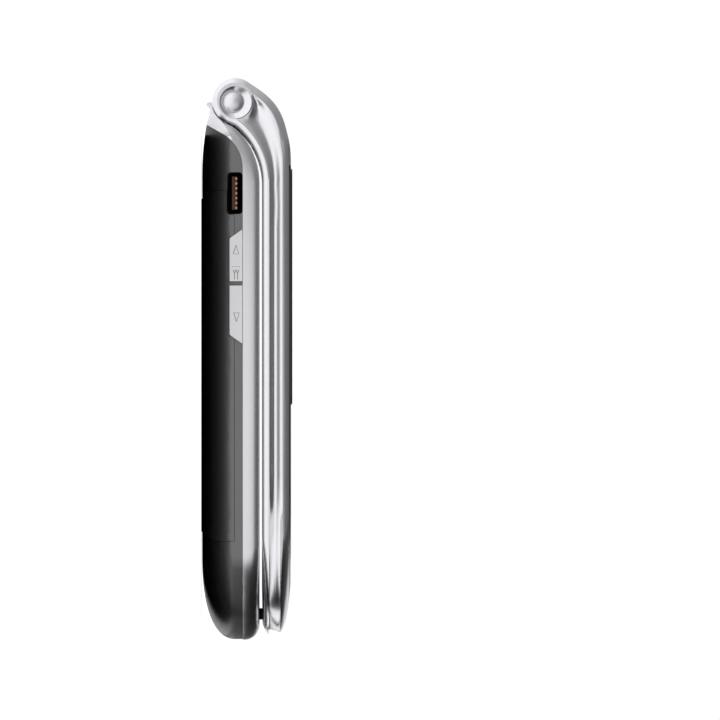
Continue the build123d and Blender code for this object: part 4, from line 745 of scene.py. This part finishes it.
def plates(name, outlines, to_point, low, high):
    """One mesh of closed plates, one for each outline."""
    form = bmesh.new()
    for outline in outlines:
        prism(form, outline, to_point, low, high)
    bmesh.ops.recalc_face_normals(form, faces=form.faces)
    mesh = bpy.data.meshes.new(name)
    form.to_mesh(mesh)
    form.free()
    return mesh


def stroke(one, two, width):
    """A straight stroke of a mark, as an outline."""
    away = Vector(two) - Vector(one)
    side = Vector((-away.y, away.x)).normalized() * width / 2
    return [tuple(Vector(one) + side), tuple(Vector(one) - side),
            tuple(Vector(two) - side), tuple(Vector(two) + side)]


def dot(centre, radius, count=16):
    """A round spot of a mark, as an outline."""
    return [(centre[0] + radius * math.cos(2 * math.pi * k / count),
             centre[1] + radius * math.sin(2 * math.pi * k / count)) for k in range(count)]


# The domed caps in the dishes of the hinge

cap_y, cap_z, cap_r = 45.78, 5.74, 1.82
cap_face, cap_foot, cap_rise = 24.95, 22.85, 0.5
cap_rim_drop, cap_rim_inset = 0.08, 0.06
cap_around, cap_rings = 72, 15


def cap_mesh(name, sign):
    """A shallow dome with a rounded rim on a short stem, all round one axis."""
    curve = [(cap_r, cap_foot), (cap_r, cap_face - cap_rise - cap_rim_drop)]
    ball_r = (cap_r ** 2 + cap_rise ** 2) / (2 * cap_rise)
    for k in range(1, cap_rings):
        radius = (cap_r - cap_rim_inset) * (1 - k / cap_rings)
        curve.append((radius, cap_face - ball_r + math.sqrt(ball_r ** 2 - radius ** 2)))
    form = bmesh.new()
    rings = []
    for radius, x in curve:
        circle = dot((cap_y, cap_z), radius, cap_around)
        rings.append([form.verts.new(Vector((sign * x, y, z)) * mm) for y, z in circle])
    tip = form.verts.new((sign * cap_face * mm, cap_y * mm, cap_z * mm))
    for k in range(cap_around):
        after = (k + 1) % cap_around
        for one, two in zip(rings, rings[1:]):
            form.faces.new((one[k], one[after], two[after], two[k]))
        form.faces.new((rings[-1][k], rings[-1][after], tip))
    form.faces.new(rings[0])
    bmesh.ops.recalc_face_normals(form, faces=form.faces)
    for face in form.faces:
        face.smooth = True
    for edge in form.edges:
        edge.smooth = edge.calc_face_angle(0.0) < math.radians(cap_crease_deg)
    mesh = bpy.data.meshes.new(name)
    form.to_mesh(mesh)
    form.free()
    return mesh


for node, sign in (("hinge_cap_left", -1), ("hinge_cap_right", 1)):
    piece_of(node + "_dome", cap_mesh(node, sign), own_finish[node], body_of[node], slots[node],
             node)


# What repeats: a small piece along a straight row

def row_of(name, small, count, start, step, material):
    """Geometry Nodes set count copies of a small mesh in a row; the result is one plain mesh."""
    holder = bpy.data.objects.new(name + "_small", small)
    bpy.context.scene.collection.objects.link(holder)
    tree = bpy.data.node_groups.new(name, "GeometryNodeTree")
    for title, kind in (("Piece", "NodeSocketObject"), ("Count", "NodeSocketInt"),
                        ("Start", "NodeSocketVector"), ("Step", "NodeSocketVector"),
                        ("Material", "NodeSocketMaterial")):
        tree.interface.new_socket(title, in_out="INPUT", socket_type=kind)
    tree.interface.new_socket("Geometry", in_out="OUTPUT", socket_type="NodeSocketGeometry")
    given = add(tree, "NodeGroupInput").outputs
    line = add(tree, "GeometryNodeMeshLine", None,
               {"Count": given["Count"], "Start Location": given["Start"],
                "Offset": given["Step"]})
    shape = add(tree, "GeometryNodeObjectInfo", None, {"Object": given["Piece"]})
    copies = add(tree, "GeometryNodeInstanceOnPoints", None,
                 {"Points": line.outputs[0], "Instance": shape.outputs["Geometry"]})
    real = add(tree, "GeometryNodeRealizeInstances", None, {0: copies.outputs[0]})
    done = add(tree, "GeometryNodeSetMaterial", None,
               {"Geometry": real.outputs[0], "Material": given["Material"]})
    add(tree, "NodeGroupOutput", None, {0: done.outputs[0]})
    base = bpy.data.objects.new(name + "_row", bpy.data.meshes.new(name + "_row"))
    bpy.context.scene.collection.objects.link(base)
    repeat = base.modifiers.new(name, "NODES")
    repeat.node_group = tree
    values = {"Piece": holder, "Count": count, "Start": start, "Step": step,
              "Material": material}
    for item in tree.interface.items_tree:
        if item.in_out == "INPUT":
            repeat[item.identifier] = values[item.name]
    graph = bpy.context.evaluated_depsgraph_get()
    made = bpy.data.meshes.new_from_object(base.evaluated_get(graph))
    bpy.data.objects.remove(base)
    bpy.data.objects.remove(holder)
    return made


# The connector's contacts: seven bent fingers over the front edge of the tongue

finger_count, finger_pitch, finger_first_y = 7, 0.87, 26.93
finger_back, finger_front = -18.95, -24.05
finger_low, finger_top, finger_thick, finger_width = 6.12, 6.52, 0.12, 0.36
finger_bend, finger_bend_half = 0.16, 0.05


def finger_mesh():
    """One finger, seen from the side: along the tongue, then down over its front edge."""
    inside, under = finger_front + finger_thick, finger_top - finger_thick
    bend = [(finger_back, finger_top), (finger_front + finger_bend, finger_top),
            (finger_front + finger_bend_half, finger_top - finger_bend_half),
            (finger_front, finger_top - finger_bend), (finger_front, finger_low),
            (inside, finger_low), (inside, under), (finger_back, under)]
    return plates("finger", [bend], lambda u, v, y: Vector((u, y, v)) * mm,
                  -finger_width / 2, finger_width / 2)


piece_of("port_contact_fingers",
         row_of("fingers", finger_mesh(), finger_count, (0, finger_first_y * mm, 0),
                (0, finger_pitch * mm, 0), own_finish["port_contacts"]),
         own_finish["port_contacts"], body_of["port_contacts"], slots["port_contacts"],
         "port_contacts")


# The faint marks on the volume keys: an arrow on each, and a sprig under a row of specks on the
# upper one. They lie on the keys' faces, at x = -key_face, with their places as (y, z).

key_face, mark_sunk, mark_high = 25.3, 0.05, 0.02
mark_width, arrow_side_width, arrow_foot_width = 0.13, 0.091, 0.078
arrow_half = 0.5
up_arrow, down_arrow = (20.3, 18.75, 6.22), (6.7, 8.3, 6.3)
stem_foot, stem_top, stem_places = 14.2, 15.3, (5.95, 6.5)
fork_top, fork_half = 15.95, 0.25
speck_count, speck_y, speck_z, speck_pitch, speck_r = 4, 16.5, 5.62, 0.4, 0.09


def on_left_side(y, z, rise):
    return Vector((-(key_face + rise), y, z)) * mm


def arrow(y_tip, y_foot, z_middle):
    """A hollow arrowhead with one heavier side, as strokes."""
    tip, one, two = ((y_tip, z_middle), (y_foot, z_middle - arrow_half),
                     (y_foot, z_middle + arrow_half))
    return [stroke(tip, one, mark_width), stroke(tip, two, arrow_side_width),
            stroke(one, two, arrow_foot_width)]


def key_mark(name, outlines, node):
    mesh = plates(name, outlines, on_left_side, -mark_sunk, mark_high)
    piece_of(name, mesh, mark_ink, body_of[node], slots[node])


key_mark("volume_up_mark", arrow(*up_arrow), "volume_up_key")
key_mark("volume_down_mark", arrow(*down_arrow), "volume_down_key")
sprig = [stroke((stem_foot, z), (stem_top, z), mark_width) for z in stem_places]
sprig += [stroke((stem_top, z), (fork_top, z + lean), mark_width)
          for z in stem_places for lean in (-fork_half, fork_half)]
key_mark("volume_up_sprig", sprig, "volume_up_key")
speck = plates("speck", [dot((0, 0), speck_r)], on_left_side, -mark_sunk, mark_high)
piece_of("volume_up_specks",
         row_of("specks", speck, speck_count, (0, speck_y * mm, speck_z * mm),
                (0, 0, speck_pitch * mm), mark_ink),
         mark_ink, body_of["volume_up_key"], slots["volume_up_key"])


# The flats in the mouth of the headset jack: its top spring and the lip below

jack_y, jack_z, jack_r, jack_flat = 29.84, 5.24, 1.9, 1.78
jack_inner_x, jack_outer_x = 24.4, 24.85
jack_arc_steps = 12


def jack_flat_outline(side):
    """The sliver of the round mouth that lies beyond its flat, towards +y or -y."""
    half = math.acos(jack_flat / jack_r)
    turns = [half * (2 * k / jack_arc_steps - 1) for k in range(jack_arc_steps + 1)]
    return [(jack_y + side * jack_r * math.cos(turn), jack_z + jack_r * math.sin(turn))
            for turn in turns]


def on_right_side(y, z, x):
    return Vector((x, y, z)) * mm


for name, side, slot in (("jack_spring_tip", 1, "gold_contact"),
                         ("jack_lip", -1, "black_shell")):
    sliver = plates(name, [jack_flat_outline(side)], on_right_side, jack_inner_x, jack_outer_x)
    piece_of(name, sliver, materials[slot], body_of["headset_jack"], slot)


# Printed legends on the keypad. They are guessed, as the photograph shows the phone closed.

legend_base, legend_top = 10.27, 10.315
digit_size, small_sizes = 4.6, {"clear_key": 3.2, "nav_ok_key": 2.6}
letter_merge_gap = 0.0001 * mm
grip_outer_r, grip_inner_r, grip_drop = 2.3, 1.75, 1.5
grip_from_deg, grip_to_deg, grip_step_deg = 25, 155, 10
lobe_drop, lobe_r = 0.75, 0.5
call_tilt = math.radians(-35)
dash_half, dash_width = 1.4, 0.4
arrow_reach, arrow_half_width, arrow_long = 6.9, 0.65, 0.8


def lettering(name, text, size, x, y):
    """A printed legend as a thin closed mesh centred on a key."""
    font = bpy.data.curves.new(name, "FONT")
    font.body = text
    font.size = size * mm
    font.align_x, font.align_y = "CENTER", "CENTER"
    font.extrude = (legend_top - legend_base) / 2 * mm
    font.resolution_u = 4
    holder = bpy.data.objects.new(name + "_text", font)
    bpy.context.scene.collection.objects.link(holder)
    graph = bpy.context.evaluated_depsgraph_get()
    mesh = bpy.data.meshes.new_from_object(holder.evaluated_get(graph))
    bpy.data.objects.remove(holder)
    form = bmesh.new()
    form.from_mesh(mesh)
    bmesh.ops.remove_doubles(form, verts=form.verts, dist=letter_merge_gap)
    across = [v.co.x for v in form.verts]
    along = [v.co.y for v in form.verts]
    middle = Vector(((min(across) + max(across)) / 2, (min(along) + max(along)) / 2, 0))
    place = Vector((x, y, (legend_base + legend_top) / 2)) * mm
    bmesh.ops.translate(form, verts=form.verts, vec=place - middle)
    bmesh.ops.recalc_face_normals(form, faces=form.faces)
    form.to_mesh(mesh)
    form.free()
    mesh.name = name
    return mesh


def on_keypad(x, y, z):
    return Vector((x, y, z)) * mm


def middle_of(node):
    """The middle of a node's box in plan, in millimetres."""
    low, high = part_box(node)
    return (low[0] + high[0]) / 2 / mm, (low[1] + high[1]) / 2 / mm


def handset(x, y, turn):
    """A plain handset: a bowed grip with a lobe at each end."""
    def place(u, v):
        return (x + u * math.cos(turn) - v * math.sin(turn),
                y + u * math.sin(turn) + v * math.cos(turn))
    turns = [math.radians(a) for a in range(grip_from_deg, grip_to_deg + 1, grip_step_deg)]
    outer = [(grip_outer_r * math.cos(t), grip_outer_r * math.sin(t) - grip_drop) for t in turns]
    inner = [(grip_inner_r * math.cos(t), grip_inner_r * math.sin(t) - grip_drop)
             for t in reversed(turns)]
    lobes = [dot((side * grip_inner_r, -lobe_drop), lobe_r) for side in (-1, 1)]
    return [[place(u, v) for u, v in shape] for shape in [outer + inner] + lobes]


def legend(node, outlines, ink, name=None):
    """Plates printed on a key, which move with it."""
    name = name or node + "_legend"
    mesh = plates(name, outlines, on_keypad, legend_base, legend_top)
    piece_of(name, mesh, ink, body_of[node], slots[node])


texts = {"key_%d" % k: str(k) for k in range(10)}
texts.update({"key_star": "*", "key_hash": "#", "clear_key": "C", "nav_ok_key": "OK"})
for node, text in texts.items():
    letters = lettering(node + "_legend", text, small_sizes.get(node, digit_size),
                        *middle_of(node))
    piece_of(node + "_legend", letters, key_ink, body_of[node], slots[node])
for node, turn in (("call_key", call_tilt), ("end_key", 0.0)):
    legend(node, handset(*middle_of(node), turn), key_ink)
for node in ("soft_key_left", "soft_key_right"):
    x, y = middle_of(node)
    legend(node, [stroke((x - dash_half, y), (x + dash_half, y), dash_width)], key_ink)
ring_arrows = []
for turn in (0, 90, 180, 270):
    away = Vector((math.cos(math.radians(turn)), math.sin(math.radians(turn))))
    side = Vector((-away.y, away.x))
    foot = Vector(middle_of("nav_ring")) + away * (arrow_reach - arrow_long)
    ring_arrows.append([tuple(foot + side * arrow_half_width),
                        tuple(foot - side * arrow_half_width), tuple(foot + away * arrow_long)])
legend("nav_ring", ring_arrows, mark_ink, "nav_ring_arrows")
